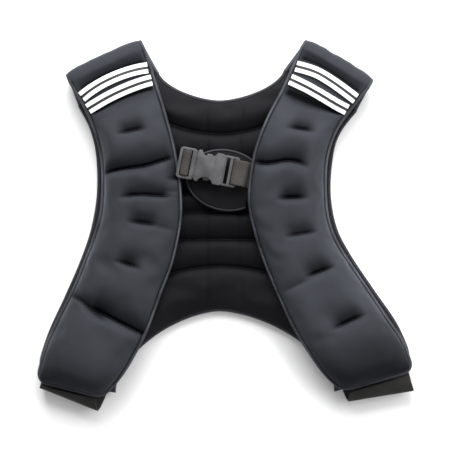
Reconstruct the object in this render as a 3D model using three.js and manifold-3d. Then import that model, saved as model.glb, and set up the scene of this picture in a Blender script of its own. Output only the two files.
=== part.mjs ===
// Weighted vest, fastened and lying on its back: a padded back panel, two padded front panels that
// fold over the shoulders, elastic side straps, and a chest strap with a side release buckle.
// Millimetres. +X is to the right as the front is seen, +Y points to the shoulders, +Z is up.

import * as THREE from "three";
import { mergeVertices } from "three/addons/utils/BufferGeometryUtils.js";
import Module from "manifold-3d";

// Overall size
const VEST_WIDTH = 457; // across the wings
const VEST_LENGTH = 446; // from the shoulder folds to the side straps

// Padding and edges
const BACK_THICKNESS = 26;
const FRONT_THICKNESS = 28;
const SHOULDER_THICKNESS = 11; // the unfilled stretch over each shoulder
const EDGE_THICKNESS = 4; // cloth layers where a panel is bound or sewn shut
const PADDING_RIM = 30; // how far in from an edge the padding reaches its full height
const CHANNEL_WIDTH = 9; // half the width of a sewn channel
const CHANNEL_DEPTH = 0.42; // share of the padding that a sewn channel takes away
const STRIPE_GROOVE_WIDTH = 14; // half the width of the groove that the centre stripe is sewn into
const STRIPE_GROOVE_DEPTH = 2.6;
const CLEARANCE = 0.3;
const LAYER_CLEARANCE = 0.9; // between two padded layers that lie on each other
const SETTLE_RADIUS = 8; // a layer on another clears all that lies within this distance

// Binding
const BINDING_WIDTH = 4.6;
const BINDING_HEIGHT = 6.4;
const BINDING_LIP = 0.36; // half the height of the side that faces the panel, as a share of the height
const FLAP_BINDING_WIDTH = 3;
const FLAP_BINDING_HEIGHT = 4.4;

// Shoulder fold and side straps
const FOLD_RADIUS = 10.5; // middle of the cloth, from the fold's axis
const SEAM_RUN_STEPS = 3;
const SIDE_STRAP_THICKNESS = 2.2;

// Tapes, pocket, flap
const TAPE_WIDTH = 13.5;
const TAPE_THICKNESS = 1.2;
const TAPE_CLEARANCE = 0.6; // over the cloth, which bends between two stations
const TAPE_GROOVE = 0.5; // depth between the two lines of a tape
const TAPE_GROOVE_TOP = 0.085; // half the groove's width at its top and at its floor, as shares
const TAPE_GROOVE_FLOOR = 0.05;
const CENTRE_TAPE_WIDTH = 15;
const POCKET_THICKNESS = 1.2;
const POCKET_BAND_WIDTH = 11;
const FLAP_THICKNESS = 3;
const FLAP_LENGTH = 92; // of the whole oval
const FLAP_HEIGHT = 70;
const FLAP_CENTRE = { x: 0, y: 0.249 }; // shares of half the width and half the length
const FLAP_CUT = 0.32; // share of its length, from its centre, at which it is sewn on

// Chest strap and buckle
const WEBBING_WIDTH = 30;
const WEBBING_THICKNESS = 1.8;
const BUCKLE_WIDTH = 37;
const BUCKLE_TILT = -11; // degrees, the left end is higher
const BUCKLE_CENTRE = { x: -0.09, y: 0.316 }; // shares of half the width and half the length
const SOCKET_LENGTH = 33;
const SOCKET_THICKNESS = 11.5;
const SOCKET_WALL = 2.2;
const PLUG_FRAME_LENGTH = 21;
const PLUG_THICKNESS = 4.6;
const LADDER_LENGTH = 17;
const LADDER_THICKNESS = 5;
const BAR_THICKNESS = 3.2;
const ROOT = 2; // how far prongs, tongue and ladder reach into what they stand on
const WAIST_RADIUS = SOCKET_LENGTH * 0.3;

// Heights above the surface
const REST_Z = POCKET_THICKNESS + CLEARANCE; // underside of the back panel
const BACK_EDGE_Z = REST_Z + SHOULDER_THICKNESS / 2;
const BACK_TOP_Z = REST_Z + BACK_THICKNESS;
const FRONT_OUTER_Z = REST_Z + BACK_THICKNESS * 0.87;
const FLAP_Z = BACK_TOP_Z + LAYER_CLEARANCE;
const WEBBING_END_Z = FLAP_Z + FLAP_THICKNESS + 2 * CLEARANCE + WEBBING_THICKNESS / 2;
const FRONT_INNER_Z = WEBBING_END_Z + WEBBING_THICKNESS / 2 + CLEARANCE + BINDING_HEIGHT / 2;
const FRONT_TOP_Z = BACK_TOP_Z + FRONT_THICKNESS;
const SHOULDER_TOP_Z = BACK_EDGE_Z + 2 * FOLD_RADIUS;
const WING_END_Z = FRONT_OUTER_Z + 1;
const BUCKLE_Z = FRONT_INNER_Z + BINDING_HEIGHT / 2 + CLEARANCE + PLUG_THICKNESS / 2; // on the left binding

// Where each front panel's outer and inner edge run, as shares of half the vest's width and length,
// with the share of its padding. Rows go from the wing end to the start of the shoulder fold.
const FRONT_LEFT_SECTIONS = [
  { outX: -0.975, outY: -0.815, inX: -0.645, inY: -0.9, fill: 0.8 },
  { outX: -0.925, outY: -0.637, inX: -0.561, inY: -0.808, fill: 0.95 },
  { outX: -0.864, outY: -0.497, inX: -0.487, inY: -0.694, fill: 1 },
  { outX: -0.787, outY: -0.341, inX: -0.406, inY: -0.528, fill: 1 },
  { outX: -0.723, outY: -0.181, inX: -0.343, inY: -0.352, fill: 1 },
  { outX: -0.674, outY: -0.05, inX: -0.278, inY: -0.171, fill: 1 },
  { outX: -0.64, outY: 0.081, inX: -0.238, inY: 0.041, fill: 1 },
  { outX: -0.631, outY: 0.226, inX: -0.241, inY: 0.228, fill: 1 },
  { outX: -0.638, outY: 0.371, inX: -0.272, inY: 0.419, fill: 0.95 },
  { outX: -0.669, outY: 0.503, inX: -0.32, inY: 0.606, fill: 0.75 },
  { outX: -0.723, outY: 0.633, inX: -0.376, inY: 0.788, fill: 0.3 },
  { outX: -0.799, outY: 0.768, inX: -0.426, inY: 0.943, fill: 0.2 },
];
const FRONT_RIGHT_SECTIONS = [
  { outX: 0.97, outY: -0.76, inX: 0.611, inY: -0.866, fill: 0.8 },
  { outX: 0.914, outY: -0.611, inX: 0.52, inY: -0.777, fill: 0.95 },
  { outX: 0.833, outY: -0.487, inX: 0.439, inY: -0.663, fill: 1 },
  { outX: 0.743, outY: -0.348, inX: 0.354, inY: -0.518, fill: 1 },
  { outX: 0.657, outY: -0.218, inX: 0.278, inY: -0.352, fill: 1 },
  { outX: 0.581, outY: -0.098, inX: 0.21, inY: -0.187, fill: 1 },
  { outX: 0.535, outY: 0.016, inX: 0.158, inY: -0.021, fill: 1 },
  { outX: 0.515, outY: 0.166, inX: 0.128, inY: 0.155, fill: 1 },
  { outX: 0.52, outY: 0.352, inX: 0.154, inY: 0.373, fill: 0.95 },
  { outX: 0.561, outY: 0.497, inX: 0.217, inY: 0.56, fill: 0.75 },
  { outX: 0.631, outY: 0.611, inX: 0.306, inY: 0.736, fill: 0.3 },
  { outX: 0.735, outY: 0.742, inX: 0.398, inY: 0.946, fill: 0.2 },
];

const SHOULDER_SLOPE = { from: 0.78, to: 0.97 }; // where a panel thins and comes down to its shoulder
const WING_SLOPE = 0.16; // share of a panel's length over which it comes down to its wing end

// Dents across the front panels: place along the panel, the stretch from outer (0) to inner (1) edge,
// how far it climbs over that stretch, its depth as a share of the padding and half its width in mm.
const FRONT_LEFT_DENTS = [
  { at: 0.252, from: -0.1, to: 1.1, climb: -0.004, depth: 0.62, width: 9 },
  { at: 0.406, from: 0.36, to: 0.66, climb: 0.01, depth: 0.25, width: 8 },
  { at: 0.526, from: 0.32, to: 0.72, climb: 0, depth: 0.25, width: 8 },
  { at: 0.603, from: 0.24, to: 0.84, climb: 0.016, depth: 0.32, width: 8 },
  { at: 0.65, from: 0.9, to: 1.2, climb: 0, depth: 0.72, width: 20 },
  { at: 0.686, from: 0, to: 0.92, climb: 0.028, depth: 0.42, width: 10 },
  { at: 0.792, from: 0.3, to: 0.68, climb: -0.003, depth: 0.28, width: 8 },
];
const FRONT_RIGHT_DENTS = [
  { at: 0.223, from: 0.24, to: 0.6, climb: -0.003, depth: 0.3, width: 9 },
  { at: 0.388, from: 0.22, to: 0.6, climb: -0.012, depth: 0.3, width: 9 },
  { at: 0.523, from: 0.22, to: 0.6, climb: -0.01, depth: 0.25, width: 8 },
  { at: 0.633, from: 0.28, to: 0.62, climb: 0, depth: 0.28, width: 8 },
  { at: 0.716, from: 0.28, to: 1, climb: 0.008, depth: 0.4, width: 10 },
  { at: 0.812, from: 0.3, to: 0.66, climb: 0, depth: 0.28, width: 8 },
];

// The back panel from its hem (first row) to its neckline and shoulder seams (last row): the outer
// edges, two joints that part wings and shoulders from the middle, and the middle, in the same shares.
const BACK_SECTIONS = [
  { leftX: -0.98, leftY: -0.79, jointLX: -0.59, jointLY: -0.87, midY: -0.435,
    jointRX: 0.585, jointRY: -0.862, rightX: 0.975, rightY: -0.74 },
  { leftX: -0.915, leftY: -0.58, jointLX: -0.525, jointLY: -0.665, midY: -0.352,
    jointRX: 0.515, jointRY: -0.655, rightX: 0.89, rightY: -0.534 },
  { leftX: -0.828, leftY: -0.383, jointLX: -0.45, jointLY: -0.475, midY: -0.238,
    jointRX: 0.42, jointRY: -0.475, rightX: 0.763, rightY: -0.342 },
  { leftX: -0.745, leftY: -0.187, jointLX: -0.38, jointLY: -0.28, midY: -0.104,
    jointRX: 0.325, jointRY: -0.28, rightX: 0.641, rightY: -0.155 },
  { leftX: -0.687, leftY: -0.01, jointLX: -0.303, jointLY: -0.062, midY: 0.062,
    jointRX: 0.237, jointRY: -0.062, rightX: 0.566, rightY: 0 },
  { leftX: -0.656, leftY: 0.187, jointLX: -0.298, jointLY: 0.187, midY: 0.238,
    jointRX: 0.227, jointRY: 0.187, rightX: 0.535, rightY: 0.187 },
  { leftX: -0.662, leftY: 0.394, jointLX: -0.318, jointLY: 0.456, midY: 0.415,
    jointRX: 0.242, jointRY: 0.456, rightX: 0.55, rightY: 0.394 },
  { leftX: -0.697, leftY: 0.539, jointLX: -0.348, jointLY: 0.684, midY: 0.56,
    jointRX: 0.283, jointRY: 0.684, rightX: 0.591, rightY: 0.518 },
  { leftX: -0.758, leftY: 0.658, jointLX: -0.364, jointLY: 0.829, midY: 0.663,
    jointRX: 0.321, jointRY: 0.839, rightX: 0.677, rightY: 0.632 },
];
const BACK_MIDDLE_X = -0.03;
const BACK_CHANNELS = [{ at: 0.28 }, { at: 0.406 }, { at: 0.515 }, { at: 0.596 }, { at: 0.7 }, { at: 0.817 }];
const CHANNEL_ENDS = { from: 0.14, to: 0.86 };
const CHANNEL_FADE = 0.06; // share of the width over which a channel runs out at its ends
const DENT_FADE = 0.12;
const DENT_RUN = VEST_LENGTH * 0.9; // length that places along a front panel are shares of
const PANEL_BELLY = 8; // how far the front panels' undersides would hang below the back's top if free
const POCKET_INSET = 0.002; // share of the back's width that stays free at each edge
const POCKET_TOP = 0.08; // height of the mesh pocket's top edge, as a share of half the length
const ARC_POWER = 1.22; // hem and neckline run a little straighter than an ellipse

// Tapes over each shoulder: place along the front panel at its outer and inner edge
const FRONT_TAPES = [
  { name: "upper", outer: 0.948, inner: 0.957 },
  { name: "lower", outer: 0.892, inner: 0.916 },
];

const TAPE_INSET = 0.045; // share of the panel's width that a tape leaves free at each edge
const BACK_TAPE_PLACE = 0.34; // share of the way from the fold's axis to the seam

// How far each side strap reaches out past its panel's binding, at the outer and the inner edge, in mm
const STRAP_LEFT = { reachOuter: 5, reachInner: 17 };
const STRAP_RIGHT = { reachOuter: 21, reachInner: 11 };
const STRAP_INSET = 0.06; // share of the panel's end that a strap leaves free at each edge

// Steps of the meshes
const FRONT_STEPS = 34;
const FRONT_CELLS = 9;
const FOLD_STEPS = 7;
const BACK_STEPS = 20;
const BACK_CELLS = 18;
const BACK_JOINT_CELLS = { left: 4, right: 14 }; // cells at which wings and shoulders meet the middle
const POCKET_SHARED_STEPS = 8; // of the back's steps, counted from the hem
const POCKET_TOP_STEPS = 2;
const STRAP_STEPS = 10;
const STRAP_CELLS = 3;
const FLAP_STEPS = 26;
const WEBBING_STEPS = 24;

const wasm = await Module();
wasm.setup();
const vest = new THREE.Group();
const UP = new THREE.Vector3(0, 0, 1);

function finish(color, roughness) {
  return new THREE.MeshStandardMaterial({ color, roughness, metalness: 0 });
}
const neoprene = finish(0x3a3c42, 0.85);
const bindingCloth = finish(0x24242a, 0.7);
const elastic = finish(0x2b2a2a, 0.8);
const reflective = finish(0xf2f2f2, 0.4);
const meshCloth = finish(0x1b1b1d, 0.9);
const plastic = finish(0x66686b, 0.45);

function addPiece(name, geometry, material) {
  const mesh = new THREE.Mesh(geometry, material);
  mesh.name = name;
  vest.add(mesh);
  return mesh;
}

// Point on the plan from shares of half the width and half the length
function plan(shareX, shareY, z = 0) {
  return new THREE.Vector3((shareX * VEST_WIDTH) / 2, (shareY * VEST_LENGTH) / 2, z);
}

// Every named column of the rows at share t of their run, on one smooth curve through them
function rowAt(rows, t) {
  const place = THREE.MathUtils.clamp(t, 0, 1) * (rows.length - 1);
  const start = Math.min(Math.floor(place), rows.length - 2);
  const f = place - start;
  const near = [-1, 0, 1, 2].map((k) => rows[THREE.MathUtils.clamp(start + k, 0, rows.length - 1)]);
  const row = {};
  for (const key of Object.keys(rows[0])) {
    const [a, b, c, d] = near.map((r) => r[key]);
    row[key] = b + 0.5 * f * (c - a + f * (2 * a - 5 * b + 4 * c - d + f * (3 * (b - c) + d - a)));
  }
  return row;
}

// Height share of padding at a distance from an edge
function swell(distance) {
  const rest = 1 - Math.min(Math.max(distance, 0) / PADDING_RIM, 1);
  return Math.sqrt(1 - rest * rest);
}

function bell(distance, width) {
  return Math.exp(-((distance / width) ** 2));
}

// 1 between two places, falling to 0 over a fade on either side of each
function stretch(place, from, to, fade) {
  const starts = THREE.MathUtils.smoothstep(place, from - fade, from + fade);
  return starts * (1 - THREE.MathUtils.smoothstep(place, to - fade, to + fade));
}

function geometryFrom(positions, faces) {
  const geometry = new THREE.BufferGeometry();
  const numbers = positions.flatMap((p) => p.toArray());
  geometry.setAttribute("position", new THREE.Float32BufferAttribute(numbers, 3));
  geometry.setIndex(faces);
  return geometry;
}

// A closed solid from a grid of cells, each with a middle point, an outward normal and the cloth's
// height over and under that middle
function gridSolid(grid) {
  const rows = grid.length;
  const cells = grid[0].length;
  const over = grid.flat().map((c) => c.point.clone().addScaledVector(c.normal, c.over));
  const under = grid.flat().map((c) => c.point.clone().addScaledVector(c.normal, -c.under));
  const top = (i, j) => i * cells + j;
  const low = (i, j) => rows * cells + i * cells + j;
  const faces = [];
  const quad = (a, b, c, d) => faces.push(a, b, c, a, c, d);
  for (let i = 0; i < rows - 1; i++) {
    for (let j = 0; j < cells - 1; j++) {
      quad(top(i, j), top(i, j + 1), top(i + 1, j + 1), top(i + 1, j));
      quad(low(i, j), low(i + 1, j), low(i + 1, j + 1), low(i, j + 1));
    }
    quad(top(i, 0), top(i + 1, 0), low(i + 1, 0), low(i, 0));
    quad(top(i, cells - 1), low(i, cells - 1), low(i + 1, cells - 1), top(i + 1, cells - 1));
  }
  for (let j = 0; j < cells - 1; j++) {
    quad(top(0, j), low(0, j), low(0, j + 1), top(0, j + 1));
    quad(top(rows - 1, j), top(rows - 1, j + 1), low(rows - 1, j + 1), low(rows - 1, j));
  }
  return outward(geometryFrom([...over, ...under], faces));
}

// Turns a closed shape's faces outwards if they point in
function outward(geometry) {
  const p = geometry.getAttribute("position");
  const index = geometry.getIndex().array;
  const corner = (k) => new THREE.Vector3().fromBufferAttribute(p, index[k]);
  let volume = 0;
  for (let k = 0; k < index.length; k += 3) {
    volume += corner(k).dot(corner(k + 1).cross(corner(k + 2)));
  }
  if (volume < 0) {
    for (let k = 0; k < index.length; k += 3) {
      [index[k + 1], index[k + 2]] = [index[k + 2], index[k + 1]];
    }
  }
  return geometry;
}

// A section of corners { out, up } carried along a route of { point, out, up } stations
function sweep(route, section, closed = false) {
  const sides = section.length;
  const rings = route.length;
  const positions = route.flatMap((station) =>
    section.map((corner) =>
      station.point.clone().addScaledVector(station.out, corner.out).addScaledVector(station.up, corner.up),
    ),
  );
  const faces = [];
  for (let i = 0; i < (closed ? rings : rings - 1); i++) {
    const next = (i + 1) % rings;
    for (let k = 0; k < sides; k++) {
      const k2 = (k + 1) % sides;
      faces.push(i * sides + k, i * sides + k2, next * sides + k2);
      faces.push(i * sides + k, next * sides + k2, next * sides + k);
    }
  }
  if (!closed) {
    const last = (rings - 1) * sides;
    for (let k = 1; k < sides - 1; k++) {
      faces.push(0, k + 1, k, last, last + k, last + k + 1);
    }
  }
  return outward(geometryFrom(positions, faces));
}

// Stations along an edge line of { point, normal }: out points away from the panel, lengthened at
// corners so that a section keeps its width there. side is 1 or -1.
function edgeRoute(line, side, closed = false) {
  const count = line.length;
  return line.map((spot, i) => {
    const before = line[closed ? (i + count - 1) % count : Math.max(i - 1, 0)];
    const after = line[closed ? (i + 1) % count : Math.min(i + 1, count - 1)];
    const arrive = spot.point.clone().sub(before.point);
    const leave = after.point.clone().sub(spot.point);
    if (arrive.lengthSq() === 0) arrive.copy(leave);
    if (leave.lengthSq() === 0) leave.copy(arrive);
    const outArrive = arrive.normalize().clone().cross(spot.normal).normalize();
    const outLeave = leave.normalize().clone().cross(spot.normal).normalize();
    const out = outArrive.clone().add(outLeave).normalize();
    out.multiplyScalar(side / Math.max(out.dot(outLeave), 0.4));
    return { point: spot.point, out, up: spot.normal };
  });
}

// An edge line with both its ends moved in along it
function shortened(line, distance) {
  const moved = (end, next) => {
    const share = Math.min(distance / end.point.distanceTo(next.point), 0.9);
    return { ...end, point: end.point.clone().lerp(next.point, share) };
  };
  return [moved(line[0], line[1]), ...line.slice(1, -1), moved(line.at(-1), line.at(-2))];
}

function bindingSection(width, height) {
  const near = CLEARANCE;
  return [
    { out: near, up: -height * BINDING_LIP },
    { out: near, up: height * BINDING_LIP },
    { out: near + width / 2, up: height / 2 },
    { out: near + width, up: 0 },
    { out: near + width / 2, up: -height / 2 },
  ];
}

const JOINTS = { left: BACK_JOINT_CELLS.left / BACK_CELLS, right: BACK_JOINT_CELLS.right / BACK_CELLS };

// Back panel: a cell's place for shares along (hem to neck) and across (left to right)
function backPlan(along, across) {
  const row = rowAt(BACK_SECTIONS, along);
  const middle = plan(BACK_MIDDLE_X, row.midY);
  const jointL = plan(row.jointLX, row.jointLY);
  const jointR = plan(row.jointRX, row.jointRY);
  if (across <= JOINTS.left) {
    return plan(row.leftX, row.leftY).lerp(jointL, across / JOINTS.left);
  }
  if (across >= JOINTS.right) {
    return jointR.lerp(plan(row.rightX, row.rightY), (across - JOINTS.right) / (1 - JOINTS.right));
  }
  const turn = (Math.PI * (across - JOINTS.left)) / (JOINTS.right - JOINTS.left);
  const joint = turn < Math.PI / 2 ? jointL : jointR;
  const x = THREE.MathUtils.lerp(middle.x, joint.x, Math.abs(Math.cos(turn)) ** ARC_POWER);
  const y = THREE.MathUtils.lerp(joint.y, middle.y, Math.sin(turn) ** ARC_POWER);
  return new THREE.Vector3(x, y, 0);
}

// Padding share on the back at a cell, from its distance to the four edges and the sewn channels
function backPadding(along, across) {
  const here = backPlan(along, across);
  const fromEdge = (a, b) => here.distanceTo(backPlan(a, b));
  const rims = swell(fromEdge(along, 0)) * swell(fromEdge(along, 1)) * swell(fromEdge(0, across));
  const ends = stretch(across, CHANNEL_ENDS.from, CHANNEL_ENDS.to, CHANNEL_FADE);
  let channels = 1;
  for (const channel of BACK_CHANNELS) {
    channels -= CHANNEL_DEPTH * ends * bell(fromEdge(channel.at, across), CHANNEL_WIDTH);
  }
  return rims * swell(fromEdge(1, across)) * channels;
}

// The unfilled edge of the back, and how far the underside has sunk to the surface it rests on
function backCell(along, across) {
  const point = backPlan(along, across).setZ(BACK_EDGE_Z);
  const padding = backPadding(along, across);
  const over = EDGE_THICKNESS / 2 + (BACK_TOP_Z - BACK_EDGE_Z - EDGE_THICKNESS / 2) * padding;
  const drop = BACK_EDGE_Z - REST_Z;
  const groove = STRIPE_GROOVE_DEPTH * bell(point.x - plan(BACK_MIDDLE_X, 0).x, STRIPE_GROOVE_WIDTH);
  const rest = Math.min(EDGE_THICKNESS / 2 + drop * 2 * padding, drop);
  return { point, normal: UP, over, under: rest - groove, rest };
}

function spread(count) {
  return Array.from({ length: count + 1 }, (_, i) => i / count);
}

const backGrid = spread(BACK_STEPS).map((a) => spread(BACK_CELLS).map((c) => backCell(a, c)));
const backGeometry = gridSolid(backGrid);
addPiece("back_panel", backGeometry, neoprene);

// Height of a geometry's upper side above a place on the plan, or of its underside
function heightOf(geometry, x, y, side = 1) {
  let height = -Infinity;
  const spot = new THREE.Vector3(x, y, 0);
  const p = geometry.getAttribute("position");
  const index = geometry.getIndex().array;
  const corners = [new THREE.Vector3(), new THREE.Vector3(), new THREE.Vector3()];
  const share = new THREE.Vector3();
  for (let k = 0; k < index.length; k += 3) {
    corners.forEach((v, i) => v.fromBufferAttribute(p, index[k + i]));
    const z = corners.map((v) => v.z);
    corners.forEach((v) => v.setZ(0));
    if (!THREE.Triangle.getBarycoord(spot, ...corners, share)) continue;
    if (Math.min(share.x, share.y, share.z) < -1e-6) continue;
    height = Math.max(height, side * (share.x * z[0] + share.y * z[1] + share.z * z[2]));
  }
  return side * height;
}

// Highest point of the back panel in a small round about a place
function heightOfBack(x, y) {
  const around = [0, 1, 2, 3, 4, 5].map((k) => (Math.PI * k) / 3);
  const heights = around.map((a) =>
    heightOf(backGeometry, x + SETTLE_RADIUS * Math.cos(a), y + SETTLE_RADIUS * Math.sin(a)),
  );
  return Math.max(REST_Z, heightOf(backGeometry, x, y), ...heights);
}

const hem = backGrid[0];
const neckEnd = backGrid[BACK_STEPS];
const leftEdge = backGrid.map((row) => row[0]);
const rightEdge = backGrid.map((row) => row[BACK_CELLS]);
const outerLine = [...leftEdge.slice(1).reverse(), ...hem, ...rightEdge.slice(1)];
addPiece(
  "binding_back_outer",
  sweep(edgeRoute(outerLine, 1), bindingSection(BINDING_WIDTH, BINDING_HEIGHT)),
  bindingCloth,
);
addPiece(
  "binding_back_neck",
  sweep(
    edgeRoute(shortened(neckEnd.slice(BACK_JOINT_CELLS.left, BACK_JOINT_CELLS.right + 1), BINDING_WIDTH), -1),
    bindingSection(BINDING_WIDTH, BINDING_HEIGHT),
  ),
  bindingCloth,
);

// Front panel: plan points of its two edges, with the height of each and the padding share
function frontRow(sections, t) {
  const row = rowAt(sections, t);
  const toShoulder = THREE.MathUtils.smoothstep(t, SHOULDER_SLOPE.from, SHOULDER_SLOPE.to);
  const toWing = 1 - THREE.MathUtils.smoothstep(t, 0, WING_SLOPE);
  const height = (free) =>
    THREE.MathUtils.lerp(THREE.MathUtils.lerp(free, WING_END_Z, toWing), SHOULDER_TOP_Z, toShoulder);
  return {
    outer: plan(row.outX, row.outY, height(FRONT_OUTER_Z)),
    inner: plan(row.inX, row.inY, height(FRONT_INNER_Z)),
    fill: row.fill,
    toShoulder,
  };
}

// Share of the padding that the dents leave at a place on a front panel
function dentShare(dents, t, v) {
  let share = 1;
  for (const dent of dents) {
    const line = dent.at + dent.climb * (v - (dent.from + dent.to) / 2);
    const within = stretch(v, dent.from, dent.to, DENT_FADE);
    share -= dent.depth * within * bell((t - line) * DENT_RUN, dent.width);
  }
  return share;
}

// Columns lie closer together at a panel's edges, where its padding rises
function columnShare(v) {
  return THREE.MathUtils.smoothstep(v, 0, 1) * 0.4 + v * 0.6;
}

function frontFlatRow(panel, t) {
  const { outer, inner, fill, toShoulder } = frontRow(panel.sections, t);
  const endDistance = frontRow(panel.sections, 0).outer.distanceTo(outer);
  return spread(FRONT_CELLS).map((v) => {
    const point = outer.clone().lerp(inner, columnShare(v));
    const rim = swell(point.distanceTo(outer)) * swell(point.distanceTo(inner)) * swell(endDistance);
    const filled = (FRONT_TOP_Z - point.z) * fill * dentShare(panel.dents, t, v);
    const thin = SHOULDER_THICKNESS / 2;
    const full = THREE.MathUtils.lerp(Math.max(filled, thin), thin, toShoulder);
    const over = EDGE_THICKNESS / 2 + (full - EDGE_THICKNESS / 2) * rim;
    const edge = v === 0 || v === 1 || t === 0;
    const below = THREE.MathUtils.lerp(point.z - BACK_TOP_Z + PANEL_BELLY, thin, toShoulder);
    const own = EDGE_THICKNESS / 2 + (below - EDGE_THICKNESS / 2) * rim;
    const room = point.z - heightOfBack(point.x, point.y) - LAYER_CLEARANCE;
    const under = edge ? EDGE_THICKNESS / 2 : Math.min(own, room);
    return { point, normal: UP, over, under };
  });
}

// The stretch round the shoulder: a half turn about the fold's axis, then back to the seam
function shoulderRows(panel) {
  const { outer, inner } = frontRow(panel.sections, 1);
  const chord = inner.clone().sub(outer).setZ(0).normalize();
  const ahead = UP.clone().cross(chord).multiplyScalar(panel.side);
  const seam = panel.side > 0
    ? { outer: leftEdge, inner: BACK_JOINT_CELLS.left }
    : { outer: rightEdge, inner: BACK_JOINT_CELLS.right };
  const seamOuter = seam.outer[BACK_STEPS].point;
  const seamInner = neckEnd[seam.inner].point;
  const rows = [];
  const rowOf = (from, to, normal, thinning) =>
    spread(FRONT_CELLS).map((v) => {
      const point = from.clone().lerp(to, columnShare(v));
      const rim = swell(point.distanceTo(from)) * swell(point.distanceTo(to)) * thinning;
      const half = EDGE_THICKNESS / 2 + (SHOULDER_THICKNESS / 2 - EDGE_THICKNESS / 2) * rim;
      return { point, normal, over: half, under: half };
    });
  for (let k = 1; k <= FOLD_STEPS; k++) {
    const angle = (Math.PI * k) / FOLD_STEPS;
    const normal = ahead.clone().multiplyScalar(Math.sin(angle)).addScaledVector(UP, Math.cos(angle));
    const shift = normal.clone().multiplyScalar(FOLD_RADIUS).addScaledVector(UP, -FOLD_RADIUS);
    rows.push(rowOf(outer.clone().add(shift), inner.clone().add(shift), normal, 1));
  }
  const down = UP.clone().negate();
  panel.axis = { outer: outer.clone().setZ(BACK_EDGE_Z), inner: inner.clone().setZ(BACK_EDGE_Z) };
  panel.seam = { outer: seamOuter, inner: seamInner };
  const gap = seamOuter.clone().sub(panel.axis.outer).setLength(CLEARANCE);
  for (let k = 1; k <= SEAM_RUN_STEPS; k++) {
    const share = k / SEAM_RUN_STEPS;
    const from = panel.axis.outer.clone().lerp(seamOuter.clone().sub(gap), share);
    const to = panel.axis.inner.clone().lerp(seamInner.clone().sub(gap), share);
    rows.push(rowOf(from, to, down, share === 1 ? 0 : 1));
  }
  return rows;
}

const frontPanels = [
  { name: "left", side: 1, sections: FRONT_LEFT_SECTIONS, dents: FRONT_LEFT_DENTS, strap: STRAP_LEFT },
  { name: "right", side: -1, sections: FRONT_RIGHT_SECTIONS, dents: FRONT_RIGHT_DENTS, strap: STRAP_RIGHT },
];

for (const panel of frontPanels) {
  panel.grid = spread(FRONT_STEPS).map((t) => frontFlatRow(panel, t));
  panel.grid.push(...shoulderRows(panel));
  panel.geometry = gridSolid(panel.grid);
  addPiece(`front_panel_${panel.name}`, panel.geometry, neoprene);
  const down = panel.grid.map((row) => row[0]).reverse();
  const up = panel.grid.map((row) => row[FRONT_CELLS]);
  const line = [...down, ...panel.grid[0].slice(1, -1), ...up];
  addPiece(
    `binding_front_${panel.name}`,
    sweep(edgeRoute(line, panel.side), bindingSection(BINDING_WIDTH, BINDING_HEIGHT)),
    bindingCloth,
  );
}

// Two reflective lines with a groove between them, as a section across a tape of the given width
function tapeSection(width) {
  const groove = TAPE_THICKNESS - TAPE_GROOVE;
  return [
    { out: -width / 2, up: 0 },
    { out: width / 2, up: 0 },
    { out: width / 2, up: TAPE_THICKNESS },
    { out: width * TAPE_GROOVE_TOP, up: TAPE_THICKNESS },
    { out: width * TAPE_GROOVE_FLOOR, up: groove },
    { out: -width * TAPE_GROOVE_FLOOR, up: groove },
    { out: -width * TAPE_GROOVE_TOP, up: TAPE_THICKNESS },
    { out: -width / 2, up: TAPE_THICKNESS },
  ];
}

// Stations of a tape laid on a geometry: side 1 on its upper side, -1 on its underside
function laidRoute(geometry, spots, width, side) {
  return spots.map((spot, i) => {
    const before = spots[Math.max(i - 1, 0)];
    const after = spots[Math.min(i + 1, spots.length - 1)];
    const run = after.clone().sub(before).setZ(0).normalize();
    const across = run.clone().cross(UP);
    const at = (shift) => {
      const p = spot.clone().addScaledVector(across, (shift * width) / 2);
      return p.setZ(heightOf(geometry, p.x, p.y, side));
    };
    const [low, high] = [at(-1), at(1)];
    const out = high.clone().sub(low).normalize();
    const up = out.clone().cross(run).normalize();
    up.multiplyScalar(Math.sign(up.z) * side);
    const rises = [-0.6, -0.3, 0, 0.3, 0.6].map(
      (shift) => side * (at(shift).z - THREE.MathUtils.lerp(low.z, high.z, (shift + 1) / 2)),
    );
    const proud = Math.max(0, ...rises) + (side > 0 ? TAPE_CLEARANCE : CLEARANCE);
    return { point: low.lerp(high, 0.5).addScaledVector(up, proud), out, up };
  });
}

// A tape bends where the panel's columns do and stops short of its edges
function tapeShare(v) {
  return THREE.MathUtils.clamp(columnShare(v), TAPE_INSET, 1 - TAPE_INSET);
}

// Front tapes over each shoulder
for (const panel of frontPanels) {
  for (const tape of FRONT_TAPES) {
    const spots = spread(FRONT_CELLS).map((v) => {
      const row = frontRow(panel.sections, THREE.MathUtils.lerp(tape.outer, tape.inner, v));
      return row.outer.lerp(row.inner, tapeShare(v));
    });
    addPiece(
      `front_tape_${panel.name}_${tape.name}`,
      sweep(laidRoute(panel.geometry, spots, TAPE_WIDTH, 1), tapeSection(TAPE_WIDTH)),
      reflective,
    );
  }
}

// Back tapes: one under each shoulder, and the double stripe down the middle
for (const panel of frontPanels) {
  const spots = spread(FRONT_CELLS).map((v) => {
    const from = panel.axis.outer.clone().lerp(panel.seam.outer, BACK_TAPE_PLACE);
    const to = panel.axis.inner.clone().lerp(panel.seam.inner, BACK_TAPE_PLACE);
    return from.lerp(to, tapeShare(v));
  });
  addPiece(
    `back_tape_${panel.name}`,
    sweep(laidRoute(panel.geometry, spots, TAPE_WIDTH, -1), tapeSection(TAPE_WIDTH)),
    reflective,
  );
}
const stripeSpots = backGrid.slice(1, -1).map((row) => row[BACK_CELLS / 2].point.clone());
addPiece(
  "back_tape_centre",
  sweep(laidRoute(backGeometry, stripeSpots, CENTRE_TAPE_WIDTH, -1), tapeSection(CENTRE_TAPE_WIDTH)),
  reflective,
);

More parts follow.
